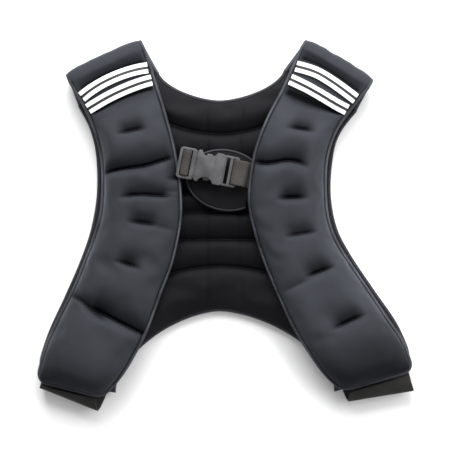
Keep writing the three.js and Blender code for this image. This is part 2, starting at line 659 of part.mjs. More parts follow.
// Mesh pocket over the lower back and its elastic band, both under the back panel
function underBack(along, across) {
  const cell = backCell(along, THREE.MathUtils.clamp(across, POCKET_INSET, 1 - POCKET_INSET));
  const top = cell.point.z - cell.rest - CLEARANCE;
  const half = POCKET_THICKNESS / 2;
  return { point: cell.point.setZ(top - half), normal: UP, over: half, under: half };
}

// Share along the back at which a column crosses a height on the plan
function alongAt(across, y) {
  let [low, high] = [0, 1];
  for (let k = 0; k < 30; k++) {
    const middle = (low + high) / 2;
    if (backPlan(middle, across).y < y) low = middle;
    else high = middle;
  }
  return low;
}

// The pocket's rows follow the back's up to where its straight top edge leaves them
const pocketTopY = plan(0, POCKET_TOP).y;
const sharedTop = POCKET_SHARED_STEPS / BACK_STEPS;
const pocketRows = [
  ...spread(POCKET_SHARED_STEPS).map((a) => () => a * sharedTop),
  ...spread(POCKET_TOP_STEPS)
    .slice(1)
    .map((a) => (c) => THREE.MathUtils.lerp(sharedTop, alongAt(c, pocketTopY), a)),
];
const pocketCells = pocketRows.map((row) => spread(BACK_CELLS).map((c) => underBack(row(c), c)));
addPiece("mesh_pocket", gridSolid(pocketCells), meshCloth);
const bandEdges = [CLEARANCE, CLEARANCE + POCKET_BAND_WIDTH];
addPiece(
  "pocket_band",
  gridSolid(bandEdges.map((d) => spread(BACK_CELLS).map((c) => underBack(alongAt(c, pocketTopY + d), c)))),
  elastic,
);

// Side straps: each leaves the end of a front panel, turns under and meets the wing of the back panel
for (const panel of frontPanels) {
  const wing = panel.side > 0
    ? { outer: hem[0], inner: hem[BACK_JOINT_CELLS.left] }
    : { outer: hem[BACK_CELLS], inner: hem[BACK_JOINT_CELLS.right] };
  const front = { outer: panel.grid[0][0].point, inner: panel.grid[0][FRONT_CELLS].point };
  const away = front.inner.clone().sub(front.outer).setZ(0).normalize().cross(UP).multiplyScalar(panel.side);
  const start = BINDING_WIDTH + 2 * CLEARANCE;
  const radius = (WING_END_Z - BACK_EDGE_Z) / 2;
  const rows = spread(STRAP_STEPS).map((share) => {
    const angle = Math.PI * share;
    return spread(STRAP_CELLS).map((v) => {
      const inset = THREE.MathUtils.lerp(STRAP_INSET, 1 - STRAP_INSET, v);
      const top = front.outer.clone().lerp(front.inner, inset);
      const low = wing.outer.point.clone().lerp(wing.inner.point, inset);
      const reach = THREE.MathUtils.lerp(panel.strap.reachOuter, panel.strap.reachInner, v);
      const point = top.clone().lerp(low, share);
      point.addScaledVector(away, start + reach * Math.sin(angle));
      point.z = BACK_EDGE_Z + radius * (1 + Math.cos(angle));
      const normal = away.clone().multiplyScalar(radius * Math.sin(angle));
      normal.addScaledVector(UP, reach * Math.cos(angle)).normalize();
      const half = SIDE_STRAP_THICKNESS / 2;
      return { point, normal, over: half, under: half };
    });
  });
  addPiece(`side_strap_${panel.name}`, gridSolid(rows), elastic);
}

// The oval pad behind the buckle, cut off where it is sewn under the right front panel
const flapCentre = plan(FLAP_CENTRE.x, FLAP_CENTRE.y, FLAP_Z + FLAP_THICKNESS / 2);
const flapTilt = THREE.MathUtils.degToRad(BUCKLE_TILT);
const flapCut = FLAP_LENGTH * FLAP_CUT;
const flapLine = [];
const cutTurn = Math.acos((2 * flapCut) / FLAP_LENGTH);
for (const share of spread(FLAP_STEPS)) {
  const turn = cutTurn + share * 2 * (Math.PI - cutTurn);
  const point = new THREE.Vector3((Math.cos(turn) * FLAP_LENGTH) / 2, (Math.sin(turn) * FLAP_HEIGHT) / 2, 0);
  point.applyAxisAngle(UP, flapTilt).add(flapCentre);
  flapLine.push({ point, normal: UP });
}
const flapShape = new THREE.Shape(flapLine.map((spot) => new THREE.Vector2(spot.point.x, spot.point.y)));
const flapGeometry = new THREE.ExtrudeGeometry(flapShape, { depth: FLAP_THICKNESS, bevelEnabled: false });
flapGeometry.translate(0, 0, FLAP_Z);
addPiece("buckle_flap", flapGeometry, neoprene);
addPiece(
  "flap_binding",
  sweep(edgeRoute(flapLine, 1), bindingSection(FLAP_BINDING_WIDTH, FLAP_BINDING_HEIGHT)),
  bindingCloth,
);

// Chest strap and buckle, in a frame of their own along the strap
const chest = new THREE.Group();
chest.position.copy(plan(BUCKLE_CENTRE.x, BUCKLE_CENTRE.y, BUCKLE_Z));
chest.rotation.z = flapTilt;
vest.add(chest);

function solid(geometry) {
  const plain = geometry.clone();
  plain.deleteAttribute("normal");
  plain.deleteAttribute("uv");
  const merged = mergeVertices(plain, 1e-4);
  return new wasm.Manifold(
    new wasm.Mesh({
      numProp: 3,
      vertProperties: merged.attributes.position.array,
      triVerts: new Uint32Array(merged.index.array),
    }),
  );
}

function geometryOf(manifold) {
  const mesh = manifold.getMesh();
  const geometry = new THREE.BufferGeometry();
  geometry.setAttribute("position", new THREE.Float32BufferAttribute(Array.from(mesh.vertProperties), 3));
  geometry.setIndex(Array.from(mesh.triVerts));
  return geometry;
}

// A plate of the given thickness about the middle plane
function plate(shape, thickness) {
  const settings = { depth: thickness, bevelEnabled: false, curveSegments: 4 };
  const geometry = new THREE.ExtrudeGeometry(shape, settings);
  return geometry.translate(0, 0, -thickness / 2);
}

function roundedRectangle(fromX, toX, halfWidth, radius) {
  const shape = new THREE.Shape();
  shape.moveTo(fromX + radius, -halfWidth);
  shape.lineTo(toX - radius, -halfWidth);
  shape.absarc(toX - radius, -halfWidth + radius, radius, -Math.PI / 2, 0, false);
  shape.absarc(toX - radius, halfWidth - radius, radius, 0, Math.PI / 2, false);
  shape.absarc(fromX + radius, halfWidth - radius, radius, Math.PI / 2, Math.PI, false);
  shape.absarc(fromX + radius, -halfWidth + radius, radius, Math.PI, Math.PI * 1.5, false);
  return shape;
}

function block(fromX, toX, halfWidth, thickness) {
  const geometry = new THREE.BoxGeometry(toX - fromX, 2 * halfWidth, thickness);
  return geometry.translate((fromX + toX) / 2, 0, 0);
}

const buckleStart = -(PLUG_FRAME_LENGTH + SOCKET_LENGTH + LADDER_LENGTH) / 2;
const socketStart = buckleStart + PLUG_FRAME_LENGTH;
const ladderStart = socketStart + SOCKET_LENGTH;
const buckleEnd = ladderStart + LADDER_LENGTH;
const half = BUCKLE_WIDTH / 2;
const slotHalf = WEBBING_WIDTH / 2 + 2 * CLEARANCE;
const slotLength = WEBBING_THICKNESS * 2.4;

// Plug: a frame with a slot for the webbing, two barbed prongs and a tongue between them
const plugSlots = [1, 2].map((k) => buckleStart + k * BAR_THICKNESS + (k - 1) * slotLength);
const plugOutline = roundedRectangle(buckleStart, socketStart - CLEARANCE, half, half * 0.22);
let plug = solid(plate(plugOutline, PLUG_THICKNESS));
for (const start of plugSlots) {
  plug = plug.subtract(solid(block(start, start + slotLength, slotHalf, SOCKET_THICKNESS)));
}
const prongReach = socketStart + SOCKET_LENGTH * 0.72;
const prongOuter = half - SOCKET_WALL - 2 * CLEARANCE;
for (const side of [1, -1]) {
  const prong = new THREE.Shape(
    [
      { x: socketStart - ROOT, y: 0.62 },
      { x: socketStart - ROOT, y: 0.84 },
      { x: socketStart + SOCKET_LENGTH * 0.3, y: 0.8 },
      { x: socketStart + SOCKET_LENGTH * 0.36, y: 1 },
      { x: socketStart + SOCKET_LENGTH * 0.5, y: 1 },
      { x: prongReach, y: 0.74 },
      { x: prongReach, y: 0.6 },
      { x: socketStart + SOCKET_LENGTH * 0.4, y: 0.62 },
    ].map((corner) => new THREE.Vector2(corner.x, side * corner.y * prongOuter)),
  );
  plug = plug.add(solid(plate(prong, PLUG_THICKNESS)));
}
const tongueEnd = socketStart + SOCKET_LENGTH * 0.62;
plug = plug.add(solid(block(socketStart - ROOT, tongueEnd, half * 0.2, PLUG_THICKNESS - 1)));

// Socket: a hollow body waisted at both sides, so that the barbs show, and a ladder of two slots
let socket = solid(plate(roundedRectangle(socketStart, ladderStart, half, half * 0.16), SOCKET_THICKNESS));
const mouth = half - SOCKET_WALL;
const cavity = SOCKET_THICKNESS - 2 * SOCKET_WALL;
socket = socket.subtract(solid(block(socketStart - 1, socketStart + SOCKET_LENGTH * 0.84, mouth, cavity)));
for (const side of [1, -1]) {
  const waist = new THREE.CylinderGeometry(WAIST_RADIUS, WAIST_RADIUS, 2 * SOCKET_THICKNESS, 20);
  waist.rotateX(Math.PI / 2);
  waist.translate(socketStart + SOCKET_LENGTH * 0.42, side * (half + SOCKET_LENGTH * 0.1), 0);
  socket = socket.subtract(solid(waist));
}
const ladderOutline = roundedRectangle(ladderStart - ROOT, buckleEnd, half * 0.97, half * 0.16);
const ladder = plate(ladderOutline, LADDER_THICKNESS);
socket = socket.add(solid(ladder));
const ladderSlots = [2, 1].map((k) => buckleEnd - k * (BAR_THICKNESS + slotLength));
for (const start of ladderSlots) {
  socket = socket.subtract(solid(block(start, start + slotLength, slotHalf, SOCKET_THICKNESS)));
}

function addToChest(name, geometry, material) {
  const mesh = addPiece(name, geometry, material);
  chest.add(mesh);
}
addToChest("buckle_plug", geometryOf(plug), plastic);
addToChest("buckle_socket", geometryOf(socket), plastic);

// Webbing: a flat strip of one width that follows a path in the plane of x and z
function webbing(path) {
  const points = path.map((p) => new THREE.Vector3(p.x, 0, p.z));
  const curve = new THREE.CatmullRomCurve3(points, false, "centripetal");
  const across = new THREE.Vector3(0, 1, 0);
  const route = spread(WEBBING_STEPS).map((t) => ({
    point: curve.getPointAt(t),
    out: across,
    up: curve.getTangentAt(t).cross(across).normalize(),
  }));
  const [w, h] = [WEBBING_WIDTH / 2, WEBBING_THICKNESS / 2];
  const section = [{ out: -w, up: -h }, { out: w, up: -h }, { out: w, up: h }, { out: -w, up: h }];
  return sweep(route, section);
}
const overBar = WEBBING_THICKNESS / 2 + 2 * CLEARANCE;
const plugLap = PLUG_THICKNESS / 2 + overBar;
const sewn = WEBBING_END_Z - BUCKLE_Z;
const plugBar = plugSlots[1] - BAR_THICKNESS / 2;
const [plugSlotOuter, plugSlotInner] = plugSlots.map((start) => start + slotLength / 2);
addToChest(
  "webbing_left",
  webbing([
    { x: buckleStart + 1, z: sewn },
    { x: buckleStart + 4.5, z: sewn + 0.1 },
    { x: plugBar + 0.5, z: sewn + 2.6 },
    { x: plugSlotInner - 0.2, z: -plugLap * 1.1 },
    { x: plugSlotInner, z: 0 },
    { x: plugSlotInner - 0.1, z: plugLap * 0.6 },
    { x: plugBar + 1, z: plugLap },
    { x: plugBar - 1, z: plugLap },
    { x: plugSlotOuter + 0.1, z: plugLap * 0.6 },
    { x: plugSlotOuter + 0.1, z: -plugLap * 0.3 },
    { x: plugBar - 1.2, z: -plugLap * 0.98 },
    { x: plugBar, z: -plugLap },
  ]),
  elastic,
);
const ladderLap = LADDER_THICKNESS / 2 + overBar;
const ladderSlot = ladderSlots[1] + slotLength / 2;
const endBar = buckleEnd - BAR_THICKNESS / 2;
// Room along the strap from the buckle to the right panel's inner edge
function roomBeside(sections) {
  let [low, high] = [0, 1];
  const spot = new THREE.Vector3();
  for (let k = 0; k < 30; k++) {
    const middle = (low + high) / 2;
    spot.copy(frontRow(sections, middle).inner).sub(chest.position).applyAxisAngle(UP, -flapTilt);
    if (spot.y < 0) low = middle;
    else high = middle;
  }
  return spot.x - buckleEnd;
}
const room = roomBeside(FRONT_RIGHT_SECTIONS);
addToChest(
  "webbing_right",
  webbing([
    { x: buckleEnd + room * 0.95, z: sewn },
    { x: buckleEnd + room * 0.78, z: sewn + 0.1 },
    { x: buckleEnd + room * 0.63, z: sewn + 3 },
    { x: buckleEnd + room * 0.58, z: -1.5 },
    { x: buckleEnd + room * 0.48, z: ladderLap - 1.4 },
    { x: buckleEnd + room * 0.27, z: ladderLap - 0.4 },
    { x: endBar + 1, z: ladderLap },
    { x: endBar - 1, z: ladderLap },
    { x: ladderSlot, z: ladderLap * 0.4 },
    { x: ladderSlot, z: -ladderLap * 0.4 },
    { x: endBar - 1, z: -ladderLap },
    { x: endBar + 1, z: -ladderLap },
    { x: buckleEnd + room * 0.3, z: -ladderLap - 0.3 },
  ]),
  elastic,
);

// The middle of the whole lies over the origin, with its lowest point on the surface
const box = new THREE.Box3().setFromObject(vest);
vest.position.set(-(box.min.x + box.max.x) / 2, -(box.min.y + box.max.y) / 2, -box.min.z);

export default vest;
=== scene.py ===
# Weighted vest, fastened at the chest and lying on its back.
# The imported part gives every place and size; this file makes the cloth, the trims and the light.
import math

import bmesh
import bpy
import numpy as np
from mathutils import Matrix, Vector, noise
from mathutils.bvhtree import BVHTree


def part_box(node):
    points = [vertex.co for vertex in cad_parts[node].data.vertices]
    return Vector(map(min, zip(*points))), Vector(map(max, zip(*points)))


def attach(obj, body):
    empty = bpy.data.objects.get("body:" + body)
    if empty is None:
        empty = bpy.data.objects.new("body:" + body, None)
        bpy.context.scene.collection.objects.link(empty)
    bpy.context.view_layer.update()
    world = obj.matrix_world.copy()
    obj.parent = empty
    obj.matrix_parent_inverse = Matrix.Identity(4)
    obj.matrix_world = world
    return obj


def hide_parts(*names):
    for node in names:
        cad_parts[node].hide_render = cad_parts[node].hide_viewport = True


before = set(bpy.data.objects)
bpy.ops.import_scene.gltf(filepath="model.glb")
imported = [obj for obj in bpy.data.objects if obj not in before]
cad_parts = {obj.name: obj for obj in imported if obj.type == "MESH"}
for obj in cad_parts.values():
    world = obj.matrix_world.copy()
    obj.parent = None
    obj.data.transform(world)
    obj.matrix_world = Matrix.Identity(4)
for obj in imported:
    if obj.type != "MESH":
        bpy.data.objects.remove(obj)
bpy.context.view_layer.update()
print("frame loaded,", len(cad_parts), "pieces")

vest = {
    "width": 457.0,  # all sizes are in mm and are made metres when a mesh is made
    "length": 446.0,
    "edgeThickness": 4.0,
    "clearance": 0.3,
    "layerClearance": 0.9,
    "restZ": 1.5,
    "backEdgeZ": 7.0,
    "backTopZ": 27.5,
    "frontOuterZ": 24.1,
    "frontInnerZ": 37.3,
    "frontTopZ": 55.5,
    "shoulderTopZ": 28.0,
    "wingEndZ": 25.1,
    "flapZ": 28.4,
    "buckleZ": 43.1,
}
frontRun = vest["length"] * 0.9  # mm along a front panel, from its wing to its shoulder

backSections = [  # leftX, leftY, jointLeftX, jointLeftY, middleY, jointRightX, jointRightY, rightX, rightY
    (-0.98, -0.79, -0.59, -0.87, -0.435, 0.585, -0.862, 0.975, -0.74),
    (-0.915, -0.58, -0.525, -0.665, -0.352, 0.515, -0.655, 0.89, -0.534),
    (-0.828, -0.383, -0.45, -0.475, -0.238, 0.42, -0.475, 0.763, -0.342),
    (-0.745, -0.187, -0.38, -0.28, -0.104, 0.325, -0.28, 0.641, -0.155),
    (-0.687, -0.01, -0.303, -0.062, 0.062, 0.237, -0.062, 0.566, 0),
    (-0.656, 0.187, -0.298, 0.187, 0.238, 0.227, 0.187, 0.535, 0.187),
    (-0.662, 0.394, -0.318, 0.456, 0.415, 0.242, 0.456, 0.55, 0.394),
    (-0.697, 0.539, -0.348, 0.684, 0.56, 0.283, 0.684, 0.591, 0.518),
    (-0.758, 0.658, -0.364, 0.829, 0.663, 0.321, 0.839, 0.677, 0.632),
]
backMiddleX = -0.03
backJoints = (4 / 18, 14 / 18)  # shares across at which wings and shoulders meet the middle
arcPower = 1.22
backChannels = (  # share up the middle, and how far the line arches with the panel
    (0.28, 0.5), (0.406, 0.06), (0.515, 0.1), (0.596, 0.5), (0.7, 0.9), (0.817, 1.0),
)

frontLeftSections = [  # outerX, outerY, innerX, innerY, fill
    (-0.975, -0.815, -0.645, -0.9, 0.8),
    (-0.925, -0.637, -0.561, -0.808, 0.95),
    (-0.864, -0.497, -0.487, -0.694, 1),
    (-0.787, -0.341, -0.406, -0.528, 1),
    (-0.723, -0.181, -0.343, -0.352, 1),
    (-0.674, -0.05, -0.278, -0.171, 1),
    (-0.64, 0.081, -0.238, 0.041, 1),
    (-0.631, 0.226, -0.241, 0.228, 1),
    (-0.638, 0.371, -0.272, 0.419, 0.95),
    (-0.669, 0.503, -0.32, 0.606, 0.75),
    (-0.723, 0.633, -0.376, 0.788, 0.3),
    (-0.799, 0.768, -0.426, 0.943, 0.2),
]
frontRightSections = [
    (0.97, -0.76, 0.611, -0.866, 0.8),
    (0.914, -0.611, 0.52, -0.777, 0.95),
    (0.833, -0.487, 0.439, -0.663, 1),
    (0.743, -0.348, 0.354, -0.518, 1),
    (0.657, -0.218, 0.278, -0.352, 1),
    (0.581, -0.098, 0.21, -0.187, 1),
    (0.535, 0.016, 0.158, -0.021, 1),
    (0.515, 0.166, 0.128, 0.155, 1),
    (0.52, 0.352, 0.154, 0.373, 0.95),
    (0.561, 0.497, 0.217, 0.56, 0.75),
    (0.631, 0.611, 0.306, 0.736, 0.3),
    (0.735, 0.742, 0.398, 0.946, 0.2),
]
frontLeftCreases = [  # at, from, to, climb, depth, width in mm, wave
    (0.254, 0.28, 1.1, -0.004, 0.42, 10, 0.0),
    (0.254, -0.1, 0.5, -0.004, 0.2, 6, 0.008),
    (0.406, 0.40, 0.62, 0.014, 0.26, 7, 0.0),
    (0.526, 0.40, 0.7, 0, 0.24, 7, 0.0),
    (0.522, 0.7, 0.95, -0.01, 0.08, 4, 0.0),
    (0.603, 0.28, 0.86, 0.016, 0.26, 7, 0.003),
    (0.615, 0.8, 1.02, 0.02, 0.12, 4, 0.004),
    (0.65, 0.9, 1.2, 0, 0.72, 16, 0.0),
    (0.686, 0.02, 0.98, 0.03, 0.32, 9, 0.002),
    (0.792, 0.34, 0.66, -0.006, 0.26, 7, 0.0),
]
frontRightCreases = [
    (0.223, 0.24, 0.58, -0.004, 0.28, 8, 0.0),
    (0.388, 0.26, 0.56, -0.014, 0.28, 8, 0.0),
    (0.372, 0.56, 0.95, -0.03, 0.1, 6, 0.0),
    (0.523, 0.26, 0.58, -0.01, 0.22, 7, 0.0),
    (0.633, 0.3, 0.6, 0, 0.28, 7, 0.0),
    (0.716, 0.3, 1.02, 0.008, 0.3, 9, 0.006),
    (0.812, 0.34, 0.64, 0, 0.26, 7, 0.0),
]

# Small tools for numbers


def smooth(x, low, high):
    share = np.clip((np.asarray(x, float) - low) / (high - low), 0, 1)
    return share * share * (3 - 2 * share)


def mix(a, b, share):
    return a + (b - a) * share


def bell(distance, width):
    return np.exp(-((distance / width) ** 2))


def rowAt(rows, t):
    rows = np.asarray(rows, float)
    place = np.clip(np.asarray(t, float), 0, 1) * (len(rows) - 1)
    start = np.minimum(np.floor(place).astype(int), len(rows) - 2)
    f = (place - start)[..., None]
    a, b, c, d = (rows[np.clip(start + k, 0, len(rows) - 1)] for k in (-1, 0, 1, 2))
    return b + 0.5 * f * (c - a + f * (2 * a - 5 * b + 4 * c - d + f * (3 * (b - c) + d - a)))


def planPoint(shareX, shareY, z=0.0):
    x = np.asarray(shareX, float) * vest["width"] / 2
    y = np.asarray(shareY, float) * vest["length"] / 2
    return np.stack(np.broadcast_arrays(x, y, np.asarray(z, float)), axis=-1)


def unit(v):
    v = np.asarray(v, float)
    return v / np.maximum(np.linalg.norm(v, axis=-1, keepdims=True), 1e-9)


def runAlong(line):
    # distance along a line at each of its points
    return np.concatenate([[0], np.cumsum(np.linalg.norm(np.diff(line, axis=0), axis=-1))])


def swell(distance, rim=30.0):
    rest = 1 - np.clip(distance / rim, 0, 1)
    return np.sqrt(np.maximum(1 - rest * rest, 0))


def roundCorner(t, v, cornerT, cornerV, reachT, reachV):
    # bends a sharp corner of the (t, v) square into a quarter round
    a = np.clip(1 - np.abs(t - cornerT) / reachT, 0, 1)
    b = np.clip(1 - np.abs(v - cornerV) / reachV, 0, 1)
    pull = np.where((a > 0) & (b > 0), np.maximum(a, b) / np.maximum(np.hypot(a, b), 1e-9), 1.0)
    signT = np.where(cornerT == 0, 1.0, -1.0)
    signV = np.where(cornerV == 0, 1.0, -1.0)
    newT = np.where((a > 0) & (b > 0), cornerT + signT * reachT * (1 - a * pull), t)
    newV = np.where((a > 0) & (b > 0), cornerV + signV * reachV * (1 - b * pull), v)
    return newT, newV


# the plan's own middle lies beside the frame's, by as much as the back panel's box says
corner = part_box("back_panel")[0] * 1000
shift = np.array([corner.x, corner.y, 0.0]) - planPoint(backSections[0][0], backSections[0][3])


# Small tools for meshes


def newObject(name, mesh):
    thing = bpy.data.objects.new(name, mesh)
    bpy.context.scene.collection.objects.link(thing)
    return thing


def meshFrom(name, points, faces, uv):
    mesh = bpy.data.meshes.new(name)
    where = (np.asarray(points, float).reshape(-1, 3) + shift) * 0.001
    mesh.from_pydata(where.tolist(), [], [tuple(int(k) for k in f) for f in faces])
    mesh.validate()
    layer = mesh.uv_layers.new(name="cloth")
    corner = np.zeros(len(mesh.loops), int)
    mesh.loops.foreach_get("vertex_index", corner)
    layer.data.foreach_set("uv", uv[corner].astype(np.float32).ravel())
    mesh.shade_smooth()
    return newObject(name, mesh)


def signedVolume(points, faces):
    total = 0.0
    for f in faces:
        a = points[f[0]]
        for k in range(1, len(f) - 1):
            total += float(np.dot(a, np.cross(points[f[k]], points[f[k + 1]])))
    return total


def closedCloth(name, over, under, seam=None):
    # a closed solid between two grids of the same shape, with its UV in metres along the cloth
    rows, columns = over.shape[:2]
    points = np.concatenate([over.reshape(-1, 3), under.reshape(-1, 3)])
    count = rows * columns
    top = np.arange(count).reshape(rows, columns)
    low = top + count
    faces = []
    for i in range(rows - 1):
        for j in range(columns - 1):
            faces.append((top[i, j], top[i, j + 1], top[i + 1, j + 1], top[i + 1, j]))
            faces.append((low[i, j], low[i + 1, j], low[i + 1, j + 1], low[i, j + 1]))
        faces.append((top[i, 0], top[i + 1, 0], low[i + 1, 0], low[i, 0]))
        faces.append((top[i, -1], low[i, -1], low[i + 1, -1], top[i + 1, -1]))
    for j in range(columns - 1):
        faces.append((top[0, j], low[0, j], low[0, j + 1], top[0, j + 1]))
        faces.append((top[-1, j], top[-1, j + 1], low[-1, j + 1], low[-1, j]))
    if signedVolume(points, faces) < 0:
        faces = [f[::-1] for f in faces]
    middle = (over + under) / 2
    alongRun = np.linalg.norm(np.diff(middle, axis=0), axis=-1).mean(axis=1)
    acrossRun = np.linalg.norm(np.diff(middle, axis=1), axis=-1)
    u = np.concatenate([[0], np.cumsum(alongRun)])[:, None] + np.zeros(columns)
    v = np.concatenate([np.zeros((rows, 1)), np.cumsum(acrossRun, axis=1)], axis=1)
    uv = np.stack([u, v - v[:, -1:] / 2], axis=-1).reshape(-1, 2) * 0.001
    piece = meshFrom(name, points, faces, np.concatenate([uv, uv]))
    # the seam attribute carries painted shade for the material: along sewn lines and in creases, grooves and
    # rims
    if seam is not None:
        attribute = piece.data.attributes.new("seam", "FLOAT", "POINT")
        values = np.concatenate([seam.ravel(), np.zeros(count)]).astype(np.float32)
        attribute.data.foreach_set("value", values)
    return piece


def sweepAlong(name, line, out, up, section, girth):
    # a section of (out, up) corners carried along a line; girth is the UV place of each corner
    rings, sides = len(line), len(section)
    points = line[:, None] + out[:, None] * section[None, :, :1] + up[:, None] * section[None, :, 1:]
    points = points.reshape(-1, 3)
    faces = []
    for i in range(rings - 1):
        for k in range(sides):
            m = (k + 1) % sides
            faces.append((i * sides + k, i * sides + m, (i + 1) * sides + m, (i + 1) * sides + k))
    faces.append(tuple(range(sides))[::-1])
    faces.append(tuple((rings - 1) * sides + k for k in range(sides)))
    if signedVolume(points, faces) < 0:
        faces = [f[::-1] for f in faces]
    uv = np.stack([np.repeat(runAlong(line), sides), np.tile(girth, rings)], axis=-1) * 0.001
    return meshFrom(name, points, faces, uv)


def vertexArray(thing):
    co = np.zeros(len(thing.data.vertices) * 3, np.float32)
    thing.data.vertices.foreach_get("co", co)
    return co.reshape(-1, 3).astype(float)


def treeOf(thing):
    co = vertexArray(thing)
    faces = [tuple(p.vertices) for p in thing.data.polygons]
    return BVHTree.FromPolygons([tuple(c) for c in co], faces)


def heightIn(tree, x, y, fromAbove=True, missing=None):
    # height in mm of a dressed piece at a place given in mm on the plan
    spot = Vector(((x + shift[0]) * 0.001, (y + shift[1]) * 0.001, 1.0 if fromAbove else -1.0))
    hit = tree.ray_cast(spot, Vector((0, 0, -1 if fromAbove else 1)))
    return missing if hit[0] is None else hit[0].z * 1000


def ownMesh(thing):
    # modifiers are turned into a plain mesh
    graph = bpy.context.evaluated_depsgraph_get()
    made = bpy.data.meshes.new_from_object(thing.evaluated_get(graph), depsgraph=graph)
    old = thing.data
    thing.modifiers.clear()
    thing.data = made
    bpy.data.meshes.remove(old)
    return thing


def dress(thing, slotName, material, *nodes):
    thing.data.materials.clear()
    thing.data.materials.append(material)
    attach(thing, "root")
    if nodes:
        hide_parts(*nodes)
    return thing


# Materials


def feed(tree, node, inputs):
    # every named input gets a value, or a link where the value is another node's socket
    for name, value in inputs.items():
        if isinstance(value, bpy.types.NodeSocket):
            tree.links.new(value, node.inputs[name])
        else:
            node.inputs[name].default_value = value


def addNode(tree, kind, inputs=None, **settings):
    node = tree.nodes.new(kind)
    for key, value in settings.items():
        setattr(node, key, value)
    feed(tree, node, inputs or {})
    return node


def newMaterial(name):
    material = bpy.data.materials.new(name)
    material.use_nodes = True
    return material, material.node_tree, material.node_tree.nodes["Principled BSDF"]


def noiseOf(tree, vector, scale, detail=2):
    inputs = {"Vector": vector, "Scale": scale, "Detail": detail}
    return addNode(tree, "ShaderNodeTexNoise", inputs).outputs["Fac"]


def mathOf(tree, operation, *values):
    return addNode(tree, "ShaderNodeMath", dict(enumerate(values)), operation=operation).outputs[0]


def rangeOf(tree, value, low, high, start=0, end=1):
    inputs = {"Value": value, "From Min": start, "From Max": end, "To Min": low, "To Max": high}
    return addNode(tree, "ShaderNodeMapRange", inputs).outputs["Result"]


def blendOf(tree, share, first, second, kind="MIX"):
    inputs = {"Factor": share, "A": first, "B": second}
    return addNode(tree, "ShaderNodeMix", inputs, data_type="RGBA", blend_type=kind).outputs["Result"]


def rampOf(tree, value, stops):
    node = addNode(tree, "ShaderNodeValToRGB", {"Fac": value})
    for k, (position, color) in enumerate(stops):
        stop = node.color_ramp.elements[k] if k < 2 else node.color_ramp.elements.new(position)
        stop.position = position
        stop.color = (*color, 1)
    return node.outputs["Color"]


def bumpOf(tree, height, look):
    inputs = {"Height": height, "Strength": look["bump"], "Distance": look["bumpDepth"]}
    return addNode(tree, "ShaderNodeBump", inputs).outputs["Normal"]


def clothMaterial(name, look):
    material, tree, shader = newMaterial(name)
    place = addNode(tree, "ShaderNodeTexCoord").outputs
    turned = {"Vector": place["UV"], "Rotation": (0, 0, look.get("turn", 0))}
    woven = addNode(tree, "ShaderNodeMapping", turned).outputs["Vector"]
    fine = noiseOf(tree, woven, look["fineScale"])
    weaves = []
    for direction, scale in zip("XY", look["weaveScale"]):
        inputs = {"Vector": woven, "Scale": scale, "Distortion": look.get("weaveBend", 0.4)}
        wave = addNode(tree, "ShaderNodeTexWave", inputs, wave_type="BANDS", bands_direction=direction)
        weaves.append(wave.outputs["Fac"])
    height = mathOf(tree, "MULTIPLY_ADD", mathOf(tree, "MULTIPLY", *weaves), 0.6, fine)
    clouds = noiseOf(tree, place["Object"], look["broadScale"], 3)
    dyed = rampOf(tree, clouds, ((0.3, look["dark"]), (0.72, look["light"])))
    grain = rampOf(tree, height, ((0, (0.45, 0.45, 0.45)), (1, (1.35, 1.35, 1.35))))
    tint = blendOf(tree, look.get("speckle", 0.35), dyed, grain, "MULTIPLY")
    # painted shade: the seam attribute darkens the colour towards near-black along sewn lines and in the
    # shade of creases, grooves, rims and wing ends
    if look.get("seams"):
        seam = addNode(tree, "ShaderNodeAttribute", attribute_name="seam").outputs["Fac"]
        tint = blendOf(tree, seam, tint, (*look["seams"], 1))
    if look.get("band"):
        # the folded ribbon is darker down its sides and lighter along its crest, across its own UV: partly
        # the ribbon's own two tones, partly a painted highlight on the crest and painted shade on the sides
        middle, half, soft = look["band"]
        split = addNode(tree, "ShaderNodeSeparateXYZ", {"Vector": place["UV"]})
        away = mathOf(tree, "ABSOLUTE", mathOf(tree, "SUBTRACT", split.outputs["Y"], middle))
        tint = blendOf(tree, rangeOf(tree, away, 1, 0, half, half + soft), tint, (*look["dark"], 1))
    feed(tree, shader, {
        "Base Color": tint,
        "Roughness": rangeOf(tree, fine, *look["roughness"]),
        "Normal": bumpOf(tree, height, look),
        "Sheen Weight": look["sheen"],
        "Sheen Roughness": look.get("sheenRoughness", 0.45),
        "Sheen Tint": (*look.get("sheenTint", (0.8, 0.85, 1.0)), 1),
        "Specular IOR Level": look["specular"],
    })
    if look.get("seams"):
        # painted shade: sheen and specular level fade out where the seam attribute paints shade, as the nap
        # catches no light down in a crease
        for socket, level in (("Sheen Weight", look["sheen"]), ("Specular IOR Level", look["specular"])):
            tree.links.new(rangeOf(tree, seam, level, 0), shader.inputs[socket])
    return material


neopreneLook = {
    "broadScale": 9, "fineScale": 1400, "weaveScale": (420, 420),
    # the near-black seam colour below is painted shade for sewn lines, creases and grooves
    "dark": (0.022, 0.024, 0.029), "light": (0.033, 0.036, 0.043), "seams": (0.0015, 0.0015, 0.002),
    "roughness": (0.6, 0.85), "bump": 0.35, "bumpDepth": 0.0004,
    "sheen": 0.32, "sheenRoughness": 0.3, "specular": 0.1,
}
